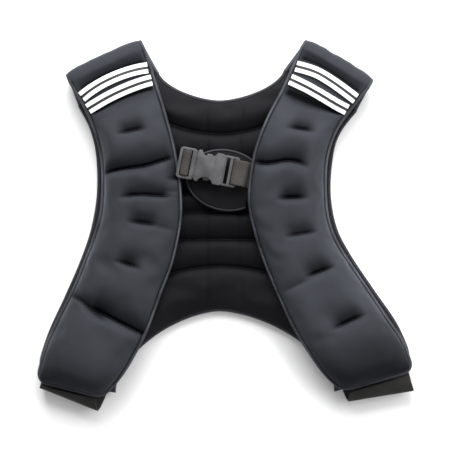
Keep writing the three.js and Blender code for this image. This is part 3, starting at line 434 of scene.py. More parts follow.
# the lining is darker than the neoprene: partly its own dark cloth, partly painted shade of the hollow it
# lies in between the front panels
shadedLiningLook = dict(
    neopreneLook, dark=(0.006, 0.006, 0.007), light=(0.011, 0.011, 0.0125), sheen=0.02, specular=0.05,
)
bindingLook = {
    "broadScale": 30, "fineScale": 900, "weaveScale": (700, 120),
    "dark": (0.012, 0.012, 0.016), "light": (0.075, 0.079, 0.1),
    # the lighter stripe on the crest is partly the ribbon's own paler tone and partly a painted highlight
    "band": (0.0051, 0.0017, 0.0006),  # middle, half width and soft rim of the lighter stripe, in metres
    "roughness": (0.4, 0.6), "bump": 0.5, "bumpDepth": 0.0004,
    "sheen": 0.15, "sheenRoughness": 0.3, "sheenTint": (0.75, 0.78, 1.0), "specular": 0.25,
}
pipingLook = dict(bindingLook, dark=(0.012, 0.012, 0.016), light=(0.024, 0.024, 0.031), band=None)
flapPipingLook = dict(pipingLook, dark=(0.014, 0.014, 0.017), light=(0.022, 0.022, 0.026))
threadLook = dict(pipingLook, dark=(0.009, 0.009, 0.011), light=(0.016, 0.016, 0.02), bump=0.2)
elasticLook = {
    "broadScale": 20, "fineScale": 700, "weaveScale": (180, 340),
    "dark": (0.017, 0.0165, 0.016), "light": (0.029, 0.0275, 0.0265),
    "roughness": (0.6, 0.85), "bump": 0.6, "bumpDepth": 0.0008,
    "sheen": 0.06, "sheenTint": (1.0, 0.95, 0.9), "specular": 0.2,
}
webbingLook = {
    "broadScale": 40, "fineScale": 600, "weaveScale": (210, 150),
    "dark": (0.027, 0.0245, 0.0225), "light": (0.05, 0.045, 0.042),
    "roughness": (0.55, 0.8), "bump": 0.8, "bumpDepth": 0.0009,
    "sheen": 0.1, "sheenTint": (1.0, 0.96, 0.92), "specular": 0.25,
}
meshLook = {
    "broadScale": 14, "fineScale": 500, "weaveScale": (126, 126), "turn": math.radians(45),
    "dark": (0.012, 0.012, 0.013), "light": (0.03, 0.03, 0.032),
    "roughness": (0.6, 0.9), "bump": 1.0, "bumpDepth": 0.0012,
    "sheen": 0.2, "specular": 0.3, "speckle": 0.9, "weaveBend": 0.0,
}
neoprene = clothMaterial("neoprene", neopreneLook)
shadedLining = clothMaterial("inner lining with painted shade", shadedLiningLook)
bindingCloth = clothMaterial("binding cloth", bindingLook)
pipingCloth = clothMaterial("dark piping", pipingLook)
flapPiping = clothMaterial("flap piping", flapPipingLook)
thread = clothMaterial("sewing thread", threadLook)
elastic = clothMaterial("ribbed elastic", elasticLook)
webbingCloth = clothMaterial("woven webbing", webbingLook)
meshCloth = clothMaterial("pocket mesh", meshLook)


def tapeMaterial(name, look):
    # two bright lines with a dark sewn line between, across the tape's own UV
    material, tree, shader = newMaterial(name)
    place = addNode(tree, "ShaderNodeUVMap", uv_map="cloth").outputs["UV"]
    across = addNode(tree, "ShaderNodeSeparateXYZ", {"Vector": place}).outputs["Y"]
    share = mathOf(tree, "MULTIPLY", mathOf(tree, "ABSOLUTE", across), 1 / look["half"])
    grain = noiseOf(tree, place, look["grainScale"])
    feed(tree, shader, {
        "Base Color": rampOf(tree, share, look["stops"]),
        "Roughness": rangeOf(tree, grain, *look["roughness"]),
        "Normal": bumpOf(tree, grain, look),
    })
    return material


tapeBright, tapeSeam = (0.8, 0.8, 0.8), (0.02, 0.02, 0.024)
tapeLook = {
    "half": 0.00675,  # half the width in metres; the stops are shares of it
    "stops": ((0.23, tapeSeam), (0.28, tapeBright), (0.95, tapeBright), (1.0, tapeSeam)),
    "grainScale": 900, "roughness": (0.35, 0.55), "bump": 0.3, "bumpDepth": 0.0003,
}
tapeCloth = tapeMaterial("reflective tape", tapeLook)
centreTapeCloth = tapeMaterial("reflective centre tape", dict(tapeLook, half=0.0075))


def plasticMaterial(name, look):
    material, tree, shader = newMaterial(name)
    place = addNode(tree, "ShaderNodeTexCoord").outputs["Object"]
    grain = noiseOf(tree, place, look["grainScale"], 4)
    clouds = noiseOf(tree, place, look["cloudScale"])
    feed(tree, shader, {
        "Base Color": rampOf(tree, clouds, ((0.35, look["dark"]), (0.65, look["light"]))),
        "Roughness": rangeOf(tree, grain, *look["roughness"]),
        "Normal": bumpOf(tree, grain, look),
        "Specular IOR Level": look["specular"],
    })
    return material


buckleLook = {
    "grainScale": 2600, "cloudScale": 60, "dark": (0.042, 0.042, 0.044), "light": (0.07, 0.07, 0.073),
    "roughness": (0.32, 0.5), "bump": 0.25, "bumpDepth": 0.0002, "specular": 0.35,
}
bucklePlastic = plasticMaterial("moulded buckle plastic", buckleLook)


# Threads and ribs, laid along lines by Geometry Nodes

stitch = {"Pitch": 0.0031, "Length": 0.0023, "Width": 0.0007, "Seed": 7}
rib = {"Radius": 0.00045}


def lineTree(name, sizes):
    # a node tree with lines in, pieces out and a named input for every size
    tree = bpy.data.node_groups.new(name, "GeometryNodeTree")
    kinds = {label: "Int" if isinstance(value, int) else "Float" for label, value in sizes.items()}
    sockets = {}
    for label, kind in {"Lines": "Geometry", **kinds, "Material": "Material"}.items():
        socket = tree.interface.new_socket(label, in_out="INPUT", socket_type=f"NodeSocket{kind}")
        sockets[label] = socket.identifier
    tree.interface.new_socket("Pieces", in_out="OUTPUT", socket_type="NodeSocketGeometry")
    start = addNode(tree, "NodeGroupInput").outputs
    curve = addNode(tree, "GeometryNodeMeshToCurve", {"Mesh": start["Lines"]}).outputs["Curve"]
    real = addNode(tree, "GeometryNodeRealizeInstances")
    dyed = {"Geometry": real.outputs["Geometry"], "Material": start["Material"]}
    dye = addNode(tree, "GeometryNodeSetMaterial", dyed)
    addNode(tree, "NodeGroupOutput", {"Pieces": dye.outputs["Geometry"]})
    return tree, sockets, start, curve, real.inputs["Geometry"]


def stitchTree():
    # short threads at an even pitch, turned along the line and a little uneven
    tree, sockets, start, curve, result = lineTree("stitches", stitch)
    spread = addNode(tree, "GeometryNodeResampleCurve", mode="LENGTH")
    feed(tree, spread, {"Curve": curve, "Length": start["Pitch"]})
    bead = addNode(tree, "GeometryNodeMeshUVSphere", {"Segments": 6, "Rings": 4, "Radius": 0.5})
    width = start["Width"]
    size = addNode(tree, "ShaderNodeCombineXYZ", {"X": width, "Y": width, "Z": start["Length"]})
    shaped = {"Geometry": bead.outputs["Mesh"], "Scale": size.outputs["Vector"]}
    shape = addNode(tree, "GeometryNodeTransform", shaped)
    tangent = addNode(tree, "GeometryNodeInputTangent").outputs["Tangent"]
    turn = addNode(tree, "FunctionNodeAlignRotationToVector", {"Vector": tangent}, axis="Z")
    uneven = addNode(tree, "FunctionNodeRandomValue", {"Min": 0.86, "Max": 1.08, "Seed": start["Seed"]})
    place = addNode(tree, "GeometryNodeInstanceOnPoints", {
        "Points": spread.outputs["Curve"],
        "Instance": shape.outputs["Geometry"],
        "Rotation": turn.outputs["Rotation"],
        "Scale": uneven.outputs["Value"],
    })
    tree.links.new(place.outputs["Instances"], result)
    return tree, sockets


def ribTree():
    # a low round rib along every line
    tree, sockets, start, curve, result = lineTree("ribs", rib)
    section = {"Resolution": 6, "Radius": start["Radius"]}
    circle = addNode(tree, "GeometryNodeCurvePrimitiveCircle", section).outputs["Curve"]
    swept = {"Curve": curve, "Profile Curve": circle, "Fill Caps": True}
    sweep = addNode(tree, "GeometryNodeCurveToMesh", swept)
    tree.links.new(sweep.outputs["Mesh"], result)
    return tree, sockets


stitchMaker = stitchTree()
ribMaker = ribTree()


def alongLines(name, lines, maker, sizes, material, slotName):
    group, sockets = maker
    points, edges, count = [], [], 0
    for line in lines:
        line = np.asarray(line, float)
        points.append((line + shift) * 0.001)
        edges += [(count + k, count + k + 1) for k in range(len(line) - 1)]
        count += len(line)
    mesh = bpy.data.meshes.new(name)
    mesh.from_pydata(np.concatenate(points).tolist(), edges, [])
    thing = newObject(name, mesh)
    modifier = thing.modifiers.new("along the lines", "NODES")
    modifier.node_group = group
    for label, value in sizes.items():
        modifier[sockets[label]] = value
    modifier[sockets["Material"]] = material
    ownMesh(thing)
    thing.data.shade_smooth()
    print(name, len(thing.data.polygons), "faces")
    return dress(thing, slotName, material)


# Cloth simulation: a filled piece swells between its sewn lines


simulation = {"quality": 6, "mass": 0.3, "shearShare": 0.4}


def fillCloth(thing, held, settings):
    # gives back how far each point moved, in metres
    before = vertexArray(thing)
    group = thing.vertex_groups.new(name="held")
    group.add(np.flatnonzero(held).tolist(), 1.0, "REPLACE")
    modifier = thing.modifiers.new("filling", "CLOTH")
    cloth = modifier.settings
    cloth.vertex_group_mass = "held"
    cloth.quality = simulation["quality"]
    cloth.mass = simulation["mass"]
    cloth.tension_stiffness = settings["stiffness"]
    cloth.compression_stiffness = settings["stiffness"]
    cloth.shear_stiffness = settings["stiffness"] * simulation["shearShare"]
    cloth.bending_stiffness = settings["bending"]
    cloth.use_pressure = True
    cloth.uniform_pressure_force = settings["pressure"]
    cloth.shrink_min = -settings["slack"]
    cloth.effector_weights.gravity = 0
    modifier.collision_settings.use_collision = False
    modifier.point_cache.frame_start = 1
    modifier.point_cache.frame_end = settings["frames"]
    scene = bpy.context.scene
    for frameNumber in range(1, settings["frames"] + 1):
        scene.frame_set(frameNumber)
    graph = bpy.context.evaluated_depsgraph_get()
    swollen = thing.evaluated_get(graph).to_mesh()
    after = np.zeros(len(swollen.vertices) * 3, np.float32)
    swollen.vertices.foreach_get("co", after)
    after = after.reshape(-1, 3).astype(float)
    thing.evaluated_get(graph).to_mesh_clear()
    thing.modifiers.remove(modifier)
    thing.vertex_groups.clear()
    scene.frame_set(1)
    moved = after - before
    size = np.linalg.norm(moved, axis=1, keepdims=True)
    cap = settings["cap"] * 0.001
    moved = moved * np.minimum(1, cap / np.maximum(size, 1e-9))
    print(thing.name, "filled, moved", round(float(size.mean() * 1000), 2), "mm on average")
    return moved


def fineMoves(moved, rows, columns, fineRows, fineColumns):
    # the moves of a coarse grid's points, evened out and read off at the places of a finer one
    grid = moved.reshape(rows, columns, 3)
    for axis in (0, 1, 0, 1):
        grid = grid / 2 + (np.roll(grid, 1, axis) + np.roll(grid, -1, axis)) / 4
    grid = grid.reshape(rows, columns * 3)
    grid = rowAt(grid, np.linspace(0, 1, fineRows)).reshape(fineRows, columns, 3)
    turned = grid.transpose(1, 0, 2).reshape(columns, fineRows * 3)
    turned = rowAt(turned, np.linspace(0, 1, fineColumns)).reshape(fineColumns, fineRows, 3)
    return turned.transpose(1, 0, 2)


def lumps(x, y, scale, seed):
    spots = np.stack([x.ravel() / scale, y.ravel() / scale], axis=-1)
    values = [noise.noise(Vector((a, b, seed))) for a, b in spots]
    return np.array(values).reshape(x.shape)


# Back panel

backPanel = {
    "coarse": (60, 92), "fine": (150, 230), "channelWidth": 9.0, "channelDepth": 0.42, "seamWidth": 1.8,
    "stripeGroove": 2.6, "stripeGrooveWidth": 14.0, "lumps": 0.5, "lumpSize": 24,
    # the seam and shadeAbove sizes set the shade painted along and above each sewn channel
    "cornerReach": (0.07, 0.045), "seamShadeReach": 2.8, "shadeAbove": (0.62, 11),
    "creaseColumns": (-22.0, 18.0), "creaseDepth": 0.1, "creaseWidth": 3.0, "leastPadding": 0.05,
    "filling": {"pressure": 3.0, "stiffness": 20, "bending": 2.0, "slack": 0.02, "frames": 14, "cap": 4},
}


upward = np.array([0.0, 0.0, 1.0])
edgeLevel = upward * vest["backEdgeZ"]


def backPlan(along, across):
    along, across = np.broadcast_arrays(np.asarray(along, float), np.asarray(across, float))
    row = rowAt(backSections, along)
    left = planPoint(row[..., 0], row[..., 1])
    jointL = planPoint(row[..., 2], row[..., 3])
    middle = planPoint(np.full_like(along, backMiddleX), row[..., 4])
    jointR = planPoint(row[..., 5], row[..., 6])
    right = planPoint(row[..., 7], row[..., 8])
    onLeft = mix(left, jointL, np.clip(across / backJoints[0], 0, 1)[..., None])
    onRight = mix(jointR, right, np.clip((across - backJoints[1]) / (1 - backJoints[1]), 0, 1)[..., None])
    turn = np.pi * np.clip((across - backJoints[0]) / (backJoints[1] - backJoints[0]), 0, 1)
    joint = np.where((turn < np.pi / 2)[..., None], jointL, jointR)
    x = mix(middle[..., 0], joint[..., 0], np.abs(np.cos(turn)) ** arcPower)
    y = mix(joint[..., 1], middle[..., 1], np.abs(np.sin(turn)) ** arcPower)
    between = np.stack([x, y, np.zeros_like(x)], axis=-1)
    leftSide = (across <= backJoints[0])[..., None]
    rightSide = (across >= backJoints[1])[..., None]
    return np.where(leftSide, onLeft, np.where(rightSide, onRight, between))


def alongAt(across, y):
    low, high = np.zeros_like(across), np.ones_like(across)
    for _ in range(30):
        middle = (low + high) / 2
        below = backPlan(middle, across)[..., 1] < y
        low = np.where(below, middle, low)
        high = np.where(below, high, middle)
    return low


def channelAt(at, arch, across):
    # a sewn line that lies between level and parallel to the panel's arched edges
    middleY = backPlan(at, 0.5)[..., 1]
    return mix(alongAt(np.asarray(across, float), middleY), at, arch)


def edgeColumns(count):
    # places from 0 to 1 that lie closer together near both ends
    even = np.linspace(0, 1, count)
    return even * 0.55 + (0.5 - 0.5 * np.cos(np.pi * even)) * 0.45


def pillow(distance, width, sharp):
    # a sewn line: the cloth rises slowly on its upper side and steeply on its lower side
    soft = np.where(distance > 0, bell(distance, width * 1.5), bell(distance, width * 0.6))
    return soft * 0.8 + bell(distance, sharp) * 0.3


def backRims(here, along, across):
    # 0 at the panel's four edges and 1 inside
    full = 1.0
    for a, b in ((along, 0), (along, 1), (0, across), (1, across)):
        full = full * swell(np.linalg.norm(here - backPlan(a, b), axis=-1))
    return full


def backBelow(padding):
    # how far the underside lies below the edge's level; it rests on the floor where it is full
    drop = vest["backEdgeZ"] - vest["restZ"]
    return np.minimum(vest["edgeThickness"] / 2 + drop * 2 * padding, drop)


def backGrids(steps, columns):
    along = edgeColumns(steps)[:, None]
    across = np.linspace(0, 1, columns)[None, :]
    along, across = np.broadcast_arrays(along, across)
    for corner in (0.0, 1.0):
        along, across = roundCorner(along, across, 0.0, corner, *backPanel["cornerReach"])
    here = backPlan(along, across)
    rims = backRims(here, along, across)
    ends = smooth(across, 0.08, 0.2) * (1 - smooth(across, 0.8, 0.92))
    channels = np.ones_like(rims)
    seam = np.zeros_like(rims)
    for middleAt, arch in backChannels:
        at = channelAt(middleAt, arch, across)
        line = backPlan(at, across)
        signed = np.linalg.norm(here - line, axis=-1) * np.sign(along - at)
        fold = pillow(signed, backPanel["channelWidth"], backPanel["seamWidth"])
        channels -= backPanel["channelDepth"] * ends * fold
        # painted shade: a dark line down in each sewn channel and a darker band above it, as if in the shadow
        # of the rib above
        above, reach = backPanel["shadeAbove"]
        shade = above * (here[..., 1] > line[..., 1]) * bell(signed, reach)
        seam = np.maximum(seam, ends * np.maximum(bell(signed, backPanel["seamShadeReach"]), shade))
    for x in backPanel["creaseColumns"]:
        wander = 4 * lumps(here[..., 1], here[..., 0] * 0, 40, x)
        channels -= backPanel["creaseDepth"] * bell(here[..., 0] - x - wander, backPanel["creaseWidth"])
    padding = rims * np.maximum(channels, backPanel["leastPadding"])
    edge = vest["edgeThickness"] / 2
    over = edge + (vest["backTopZ"] - vest["backEdgeZ"] - edge) * padding
    stripe = bell(here[..., 0] - planPoint(backMiddleX, 0)[0], backPanel["stripeGrooveWidth"])
    under = backBelow(padding) - backPanel["stripeGroove"] * stripe
    over = over + backPanel["lumps"] * lumps(here[..., 0], here[..., 1], backPanel["lumpSize"], 3.0) * rims
    points = here + edgeLevel
    return points, points + upward * over[..., None], points - upward * under[..., None], channels, seam


def makeBack():
    steps, columns = backPanel["coarse"]
    _, over, under, channels, _ = backGrids(steps, columns)
    rough = closedCloth("back filling", over, under)
    heldOver = channels < 0.75  # the sewn lines, and below them the two rows at each edge
    for edge in (heldOver[:2], heldOver[-2:], heldOver[:, :2], heldOver[:, -2:]):
        edge[:] = True
    held = np.concatenate([heldOver.ravel(), np.full(steps * columns, True)])
    moved = fillCloth(rough, held, backPanel["filling"])[: steps * columns]
    bpy.data.objects.remove(rough)
    fine = backPanel["fine"]
    middle, over, under, _, seam = backGrids(*fine)
    over = over + fineMoves(moved, steps, columns, *fine) * 1000
    piece = closedCloth("back_panel_cloth", over, under, seam)
    return piece, middle


backPiece, backMiddle = makeBack()
backTree = treeOf(backPiece)
print("back panel made")


# Front panels with their shoulder stretches

frontPanel = {
    "coarse": (110, 30, 6, 4), "fine": (270, 64, 22, 14),  # rows, columns, fold rows, rows to the seam
    "foldRadius": 10.5, "shoulderThickness": 11.0, "lumps": 0.8, "lumpSize": 30, "sharp": 1.9, "wave": 0.75,
    "cornerReach": (0.036, 0.17), "rimShade": (0.95, 1.6), "leastRoom": 0.4,
    "filling": {"pressure": 4.0, "stiffness": 18, "bending": 3.0, "slack": 0.02, "frames": 16, "cap": 6},
}


def frontEdges(sections, t):
    row = rowAt(sections, t)
    toShoulder = smooth(t, 0.78, 0.97)
    toWing = 1 - smooth(t, 0, 0.16)

    def height(free):
        return mix(mix(free, vest["wingEndZ"], toWing), vest["shoulderTopZ"], toShoulder)

    outer = planPoint(row[..., 0], row[..., 1], height(vest["frontOuterZ"]))
    inner = planPoint(row[..., 2], row[..., 3], height(vest["frontInnerZ"]))
    return outer, inner, row[..., 4], toShoulder


# painted shade: how much darkness is painted along and above each crease, as if in its shadow
creaseShade = {  # how dark a crease is, in shares, and how far that reaches, in mm
    "line": 0.62, "lineReach": 2.1, "above": 0.6, "aboveReach": 1.4, "below": 1.6,
    "far": 0.22, "farReach": 26, "byDepth": 3.6,
}


def creaseLine(crease, v):
    at, start, end, climb, _, _, wave = crease
    return at + climb * (v - (start + end) / 2) + wave * np.sin(2 * np.pi * (v - start) / frontPanel["wave"])


def creaseShare(creases, t, v):
    share, dark = np.ones_like(v), np.zeros_like(v)
    look = creaseShade
    for crease in creases:
        _, start, end, _, depth, width, _ = crease
        within = smooth(v, start - 0.1, start + 0.1) * (1 - smooth(v, end - 0.1, end + 0.1))
        distance = (t - creaseLine(crease, v)) * frontRun
        share = share - depth * within * pillow(distance, width, frontPanel["sharp"])
        # painted shade: a dark line in the crease, a darker band above it and a faint gradient further up
        # each filled cell
        reach = np.where(distance > 0, width * look["aboveReach"], look["below"])
        far = np.where(distance > 0, bell(distance, look["farReach"]), 0)
        shade = look["line"] * bell(distance, look["lineReach"])
        shade = shade + look["above"] * bell(distance, reach) + look["far"] * far
        dark = np.maximum(dark, within * min(depth * look["byDepth"], 1) * np.minimum(shade, 1))
    return np.maximum(share, 0.06), dark


# the line, shade and fold sizes also set where shade is painted in the grooves and under the fold
tapeFold = {  # how the cloth is drawn in round the two front tapes, in mm
    "gapAbove": 1.6, "aboveDepth": 3.2, "aboveWidth": 6.0, "aboveSharp": 2.4, "aboveLine": 2.2,
    "gapBelow": 1.8, "belowDepth": 3.4, "belowWidth": 3.6, "belowLine": 2.4,
    "betweenDepth": 1.0, "betweenWidth": 2.0, "shade": 0.55, "shadeReach": 12,
    "foldDepth": 6.0, "foldWidth": 2.2, "foldGrowth": 4.6,
}


def tapeGrooves(panel, t, v):
    # the cloth is drawn in where the tapes are sewn on, and the padding stands up beside them
    size = tapeFold
    inside = smooth(v, 0.0, 0.1) * (1 - smooth(v, 0.92, 1.0))
    (_, upOuter, upInner), (_, lowOuter, lowInner) = panel["tapes"]
    half = tapes["width"] / 2
    above = (t - mix(upOuter, upInner, v)) * frontRun - half - size["gapAbove"] - bowOf(panel, 0, v)
    below = (t - mix(lowOuter, lowInner, v)) * frontRun + half + size["gapBelow"] - bowOf(panel, 1, v)
    sink = size["aboveDepth"] * pillow(above, size["aboveWidth"], size["aboveSharp"])
    sink = sink + size["belowDepth"] * bell(below, size["belowWidth"])
    sink = sink + size["betweenDepth"] * bell((above + below) / 2, size["betweenWidth"])
    # painted shade: dark lines down in the grooves beside the tapes and a darker band above them
    dark = np.maximum(bell(above, size["aboveLine"]), bell(below, size["belowLine"]))
    dark = np.maximum(dark, size["shade"] * np.where(above > 0, bell(above, size["shadeReach"]), 0))
    # the cloth folds in under the lower tape, most towards the inner side, and a painted shadow fills the
    # fold
    growth = smooth(v, 0.05, 0.6) * (1 - 0.5 * smooth(v, 0.75, 1.0))
    wide = size["foldWidth"] + size["foldGrowth"] * growth
    fold = panel["fold"] * bell(below + wide * 0.4, wide) * smooth(v, 0.02, 0.2)
    sink = sink + size["foldDepth"] * fold
    dark = np.maximum(dark, fold)
    return sink * inside, dark * inside * 0.95


def bowOf(panel, which, v):
    # how far a tape bows towards the shoulder, in mm
    peak, power = panel["bows"][2:]
    side = np.where(v < peak, peak, 1 - peak)
    return panel["bows"][which] * np.clip(1 - ((v - peak) / side) ** 2, 0, 1) ** power


def wrinkleOf(panel, v):
    # soft folds that run over the shoulder
    waves = ((0.6, 2.6, 0.1), (0.4, 5.3, 0.4))  # share, folds across the panel, phase
    height = sum(share * np.sin(2 * np.pi * (count * v + phase)) for share, count, phase in waves)
    return panel["wrinkles"] * height


def frontFlat(panel, t, v):
    # middle, over and under heights of a front panel at places along (t) and across (v)
    outer, inner, fill, toShoulder = frontEdges(panel["sections"], t)
    point = mix(outer, inner, v[..., None])
    first = frontEdges(panel["sections"], np.zeros_like(t))[0]
    away = [np.linalg.norm(a - b, axis=-1) for a, b in ((point, outer), (point, inner), (first, outer))]
    rim = swell(away[0] - 0.6) * swell(away[1] - 0.6) * swell(away[2] - 0.6)
    crease, dark = creaseShare(panel["creases"], t, v)
    thin = frontPanel["shoulderThickness"] / 2
    edge = vest["edgeThickness"] / 2
    filled = (vest["frontTopZ"] - point[..., 2]) * fill * crease
    full = mix(np.maximum(filled, thin * 0.5), thin, toShoulder)
    over = edge + (full - edge) * rim
    # sewn holds the painted shade in the grooves beside the tapes and under their fold
    sink, sewn = tapeGrooves(panel, t, v)
    over = np.maximum(over - sink * rim, edge)
    over = over * (1 + wrinkleOf(panel, v) * smooth(t, 0.95, 1.0) * rim)
    below = mix(point[..., 2] - vest["backTopZ"] + 8, thin, toShoulder)
    own = edge + (below - edge) * rim
    # painted shade: along the rims beside the binding and darker towards the wing ends, joined with the
    # painted crease and groove shade
    rimDark, rimReach = frontPanel["rimShade"]
    wingDark, wingReach = panel["wing"]
    rimShade = rimDark * bell(np.min(away, axis=0), rimReach)
    wingShade = wingDark * (1 - smooth(t, 0.0, wingReach))
    dark = np.max([dark, sewn, rimShade, wingShade], axis=0)
    return point, over, own, rim, crease, dark


def roomUnder(point, own):
    room = np.zeros_like(own)
    for index in np.ndindex(own.shape):
        x, y, z = point[index]
        height = heightIn(backTree, x, y, missing=vest["restZ"])
        room[index] = z - height - vest["layerClearance"]
    return np.maximum(np.minimum(own, room), frontPanel["leastRoom"])


def backCorners(panel, along):
    # the back panel's corners that a front panel's end belongs to, outer and inner
    outer, inner = (0.0, backJoints[0]) if panel["side"] > 0 else (1.0, backJoints[1])
    return backPlan(along, outer) + edgeLevel, backPlan(along, inner) + edgeLevel


def frontGrids(panel, rows, columns, foldRows, seamRows):
    t = np.linspace(0, 1, rows)[:, None] + np.zeros((1, columns))
    v = edgeColumns(columns)[None, :] + np.zeros((rows, 1))
    for corner in (0.0, 1.0):
        t, v = roundCorner(t, v, 0.0, corner, *frontPanel["cornerReach"])
    point, over, own, rim, crease, dark = frontFlat(panel, t, v)
    uneven = lumps(point[..., 0], point[..., 1], frontPanel["lumpSize"], panel["seed"])
    over = over + frontPanel["lumps"] * uneven * rim
    under = roomUnder(point, own)
    up = np.broadcast_to(upward, point.shape)
    middles, normals, overs, unders = [point], [up], [over], [under]
    # the stretch round the shoulder, a half turn and then back to the seam
    outer, inner, _, _ = frontEdges(panel["sections"], np.array(1.0))
    chord = unit((inner - outer) * (1, 1, 0))
    ahead = np.cross((0, 0, 1), chord) * panel["side"]
    seamOuter, seamInner = backCorners(panel, 1.0)
    share = edgeColumns(columns)
    radius = frontPanel["foldRadius"]
    thin = frontPanel["shoulderThickness"] / 2
    edge = vest["edgeThickness"] / 2

    def shoulderRow(start, end, normal, thinning):
        line = mix(start, end, share[:, None])
        rimHere = swell(np.linalg.norm(line - start, axis=-1)) * swell(np.linalg.norm(line - end, axis=-1))
        rimHere = rimHere * thinning
        half = edge + (thin - edge) * rimHere
        half = half * (1 + wrinkleOf(panel, share) * rimHere)
        middles.append(line[None])
        normals.append(np.broadcast_to(normal, line.shape)[None])
        overs.append(half[None])
        unders.append(half[None])

    for k in range(1, foldRows + 1):
        angle = math.pi * k / foldRows
        normal = ahead * math.sin(angle) + upward * math.cos(angle)
        move = (normal - upward) * radius
        shoulderRow(outer + move, inner + move, normal, 1)
    axisOuter = outer * (1, 1, 0) + edgeLevel
    axisInner = inner * (1, 1, 0) + edgeLevel
    gap = unit(seamOuter - axisOuter) * vest["clearance"]
    for k in range(1, seamRows + 1):
        part = k / seamRows
        ends = mix(axisOuter, seamOuter - gap, part), mix(axisInner, seamInner - gap, part)
        shoulderRow(*ends, -upward, math.sqrt(1 - part ** 6))
    panel["axis"] = (axisOuter, axisInner)
    panel["seam"] = (seamOuter, seamInner)
    middle = np.concatenate(middles)
    normal = np.concatenate(normals)
    over = np.concatenate(overs)
    under = np.concatenate(unders)
    # the painted shade goes to the seam attribute; the shoulder stretch gets none
    seam = np.concatenate([dark, np.zeros((foldRows + seamRows, columns))])
    return middle, normal, middle + normal * over[..., None], middle - normal * under[..., None], crease, seam


# wing: strength and reach of the shade painted over each wing end; fold: share of the fold under the lower
# tape, its depth and its painted shadow
frontPanels = [
    {"name": "left", "side": 1, "seed": 11.0, "sections": frontLeftSections, "creases": frontLeftCreases,
     "bows": (5.2, 4.1, 0.5, 1.0), "wrinkles": 0.05, "fold": 0.25, "wing": (0.6, 0.15), "reach": (5.0, 17.0),
     "tapes": (("upper", 0.94, 0.938), ("lower", 0.901, 0.904))},
    {"name": "right", "side": -1, "seed": 27.0, "sections": frontRightSections, "creases": frontRightCreases,
     "bows": (3.6, 1.6, 0.6, 1.4), "wrinkles": 0.11, "fold": 1.0, "wing": (0.7, 0.3), "reach": (21.0, 11.0),
     "tapes": (("upper", 0.95, 0.956), ("lower", 0.914, 0.93))},
]
tapes = {
    "width": 13.5, "thickness": 1.2, "groove": 0.5, "inset": 0.02, "steps": 60,
    "backPlace": 0.34, "centreWidth": 15.0, "centreSteps": 80,
}


def makeFront(panel):
    coarse, fine = frontPanel["coarse"], frontPanel["fine"]
    rows, columns = coarse[:2]
    _, _, over, under, crease, _ = frontGrids(panel, *coarse)
    rough = closedCloth("front filling", over, under)
    heldOver = np.full(over.shape[:2], False)
    heldOver[:rows] = crease < 0.85  # the creases, and below them the edges and the shoulder
    for edge in (heldOver[:2], heldOver[:, :2], heldOver[:, -2:], heldOver[int(rows * 0.84):]):
        edge[:] = True
    held = np.concatenate([heldOver.ravel(), np.full(heldOver.size, True)])
    moved = fillCloth(rough, held, frontPanel["filling"])[: rows * columns]
    bpy.data.objects.remove(rough)
    middle, normal, over, under, _, seam = frontGrids(panel, *fine)
    over[: fine[0]] += fineMoves(moved, rows, columns, fine[0], fine[1]) * 1000
    panel["middle"], panel["normal"] = middle, normal
    panel["piece"] = closedCloth(f"front_panel_{panel['name']}_cloth", over, under, seam)
    panel["tree"] = treeOf(panel["piece"])
    print("front panel", panel["name"], "made")


for panel in frontPanels:
    makeFront(panel)


# Binding round every panel

binding = {
    "front": (4.4, 5.4), "back": (5.2, 6.0), "flap": (3.0, 3.6),  # width, height
    "overlap": 1.4, "sides": 14, "tuck": 2.5, "crest": 0.42,
}


def bindingSection(width, height):
    # a folded ribbon: rounded outside, flat against the panel
    angles = np.linspace(-0.62 * np.pi, 0.62 * np.pi, binding["sides"])
    out = width * (binding["crest"] + (1 - binding["crest"]) * np.cos(angles)) - binding["overlap"]
    lips = np.where(np.abs(angles) > np.pi / 2, 0.9, 1)
    up = height / 2 * np.sin(np.clip(angles, -np.pi / 2, np.pi / 2)) * lips
    return np.stack([np.maximum(out, -binding["overlap"]), up], axis=-1)


def routeAlong(line, normal, side):
    # the line with its outward and upward directions, mitred at the corners
    before = np.concatenate([line[:1], line[:-1]])
    after = np.concatenate([line[1:], line[-1:]])
    arrive, leave = unit(line - before), unit(after - line)
    arrive[0], leave[-1] = leave[0], arrive[-1]
    outArrive, outLeave = unit(np.cross(arrive, normal)), unit(np.cross(leave, normal))
    out = unit(outArrive + outLeave)
    stretch = side / np.maximum((out * outLeave).sum(-1, keepdims=True), 0.5)
    return line, out * stretch, normal


def tuckedEnds(line):
    # both ends carried on a little under the next trim
    first = line[0] + unit(line[0] - line[1]) * binding["tuck"]
    last = line[-1] + unit(line[-1] - line[-2]) * binding["tuck"]
    return np.concatenate([[first], line, [last]])


def sewnLine(line, normal, side, size, faces=(1,)):
    # where the thread runs on a binding's crest, on its upper and under face
    line, out, normal = routeAlong(line, normal, side)
    width, height = size
    crest = line + out * (binding["crest"] * width - binding["overlap"])
    return [crest + normal * face * (height / 2 + 0.05) for face in faces]


def bindingPiece(name, line, normal, side, node, material, size):
    section = bindingSection(*size)
    piece = sweepAlong(name, *routeAlong(line, normal, side), section, runAlong(section))
    return dress(piece, "binding", material, node)


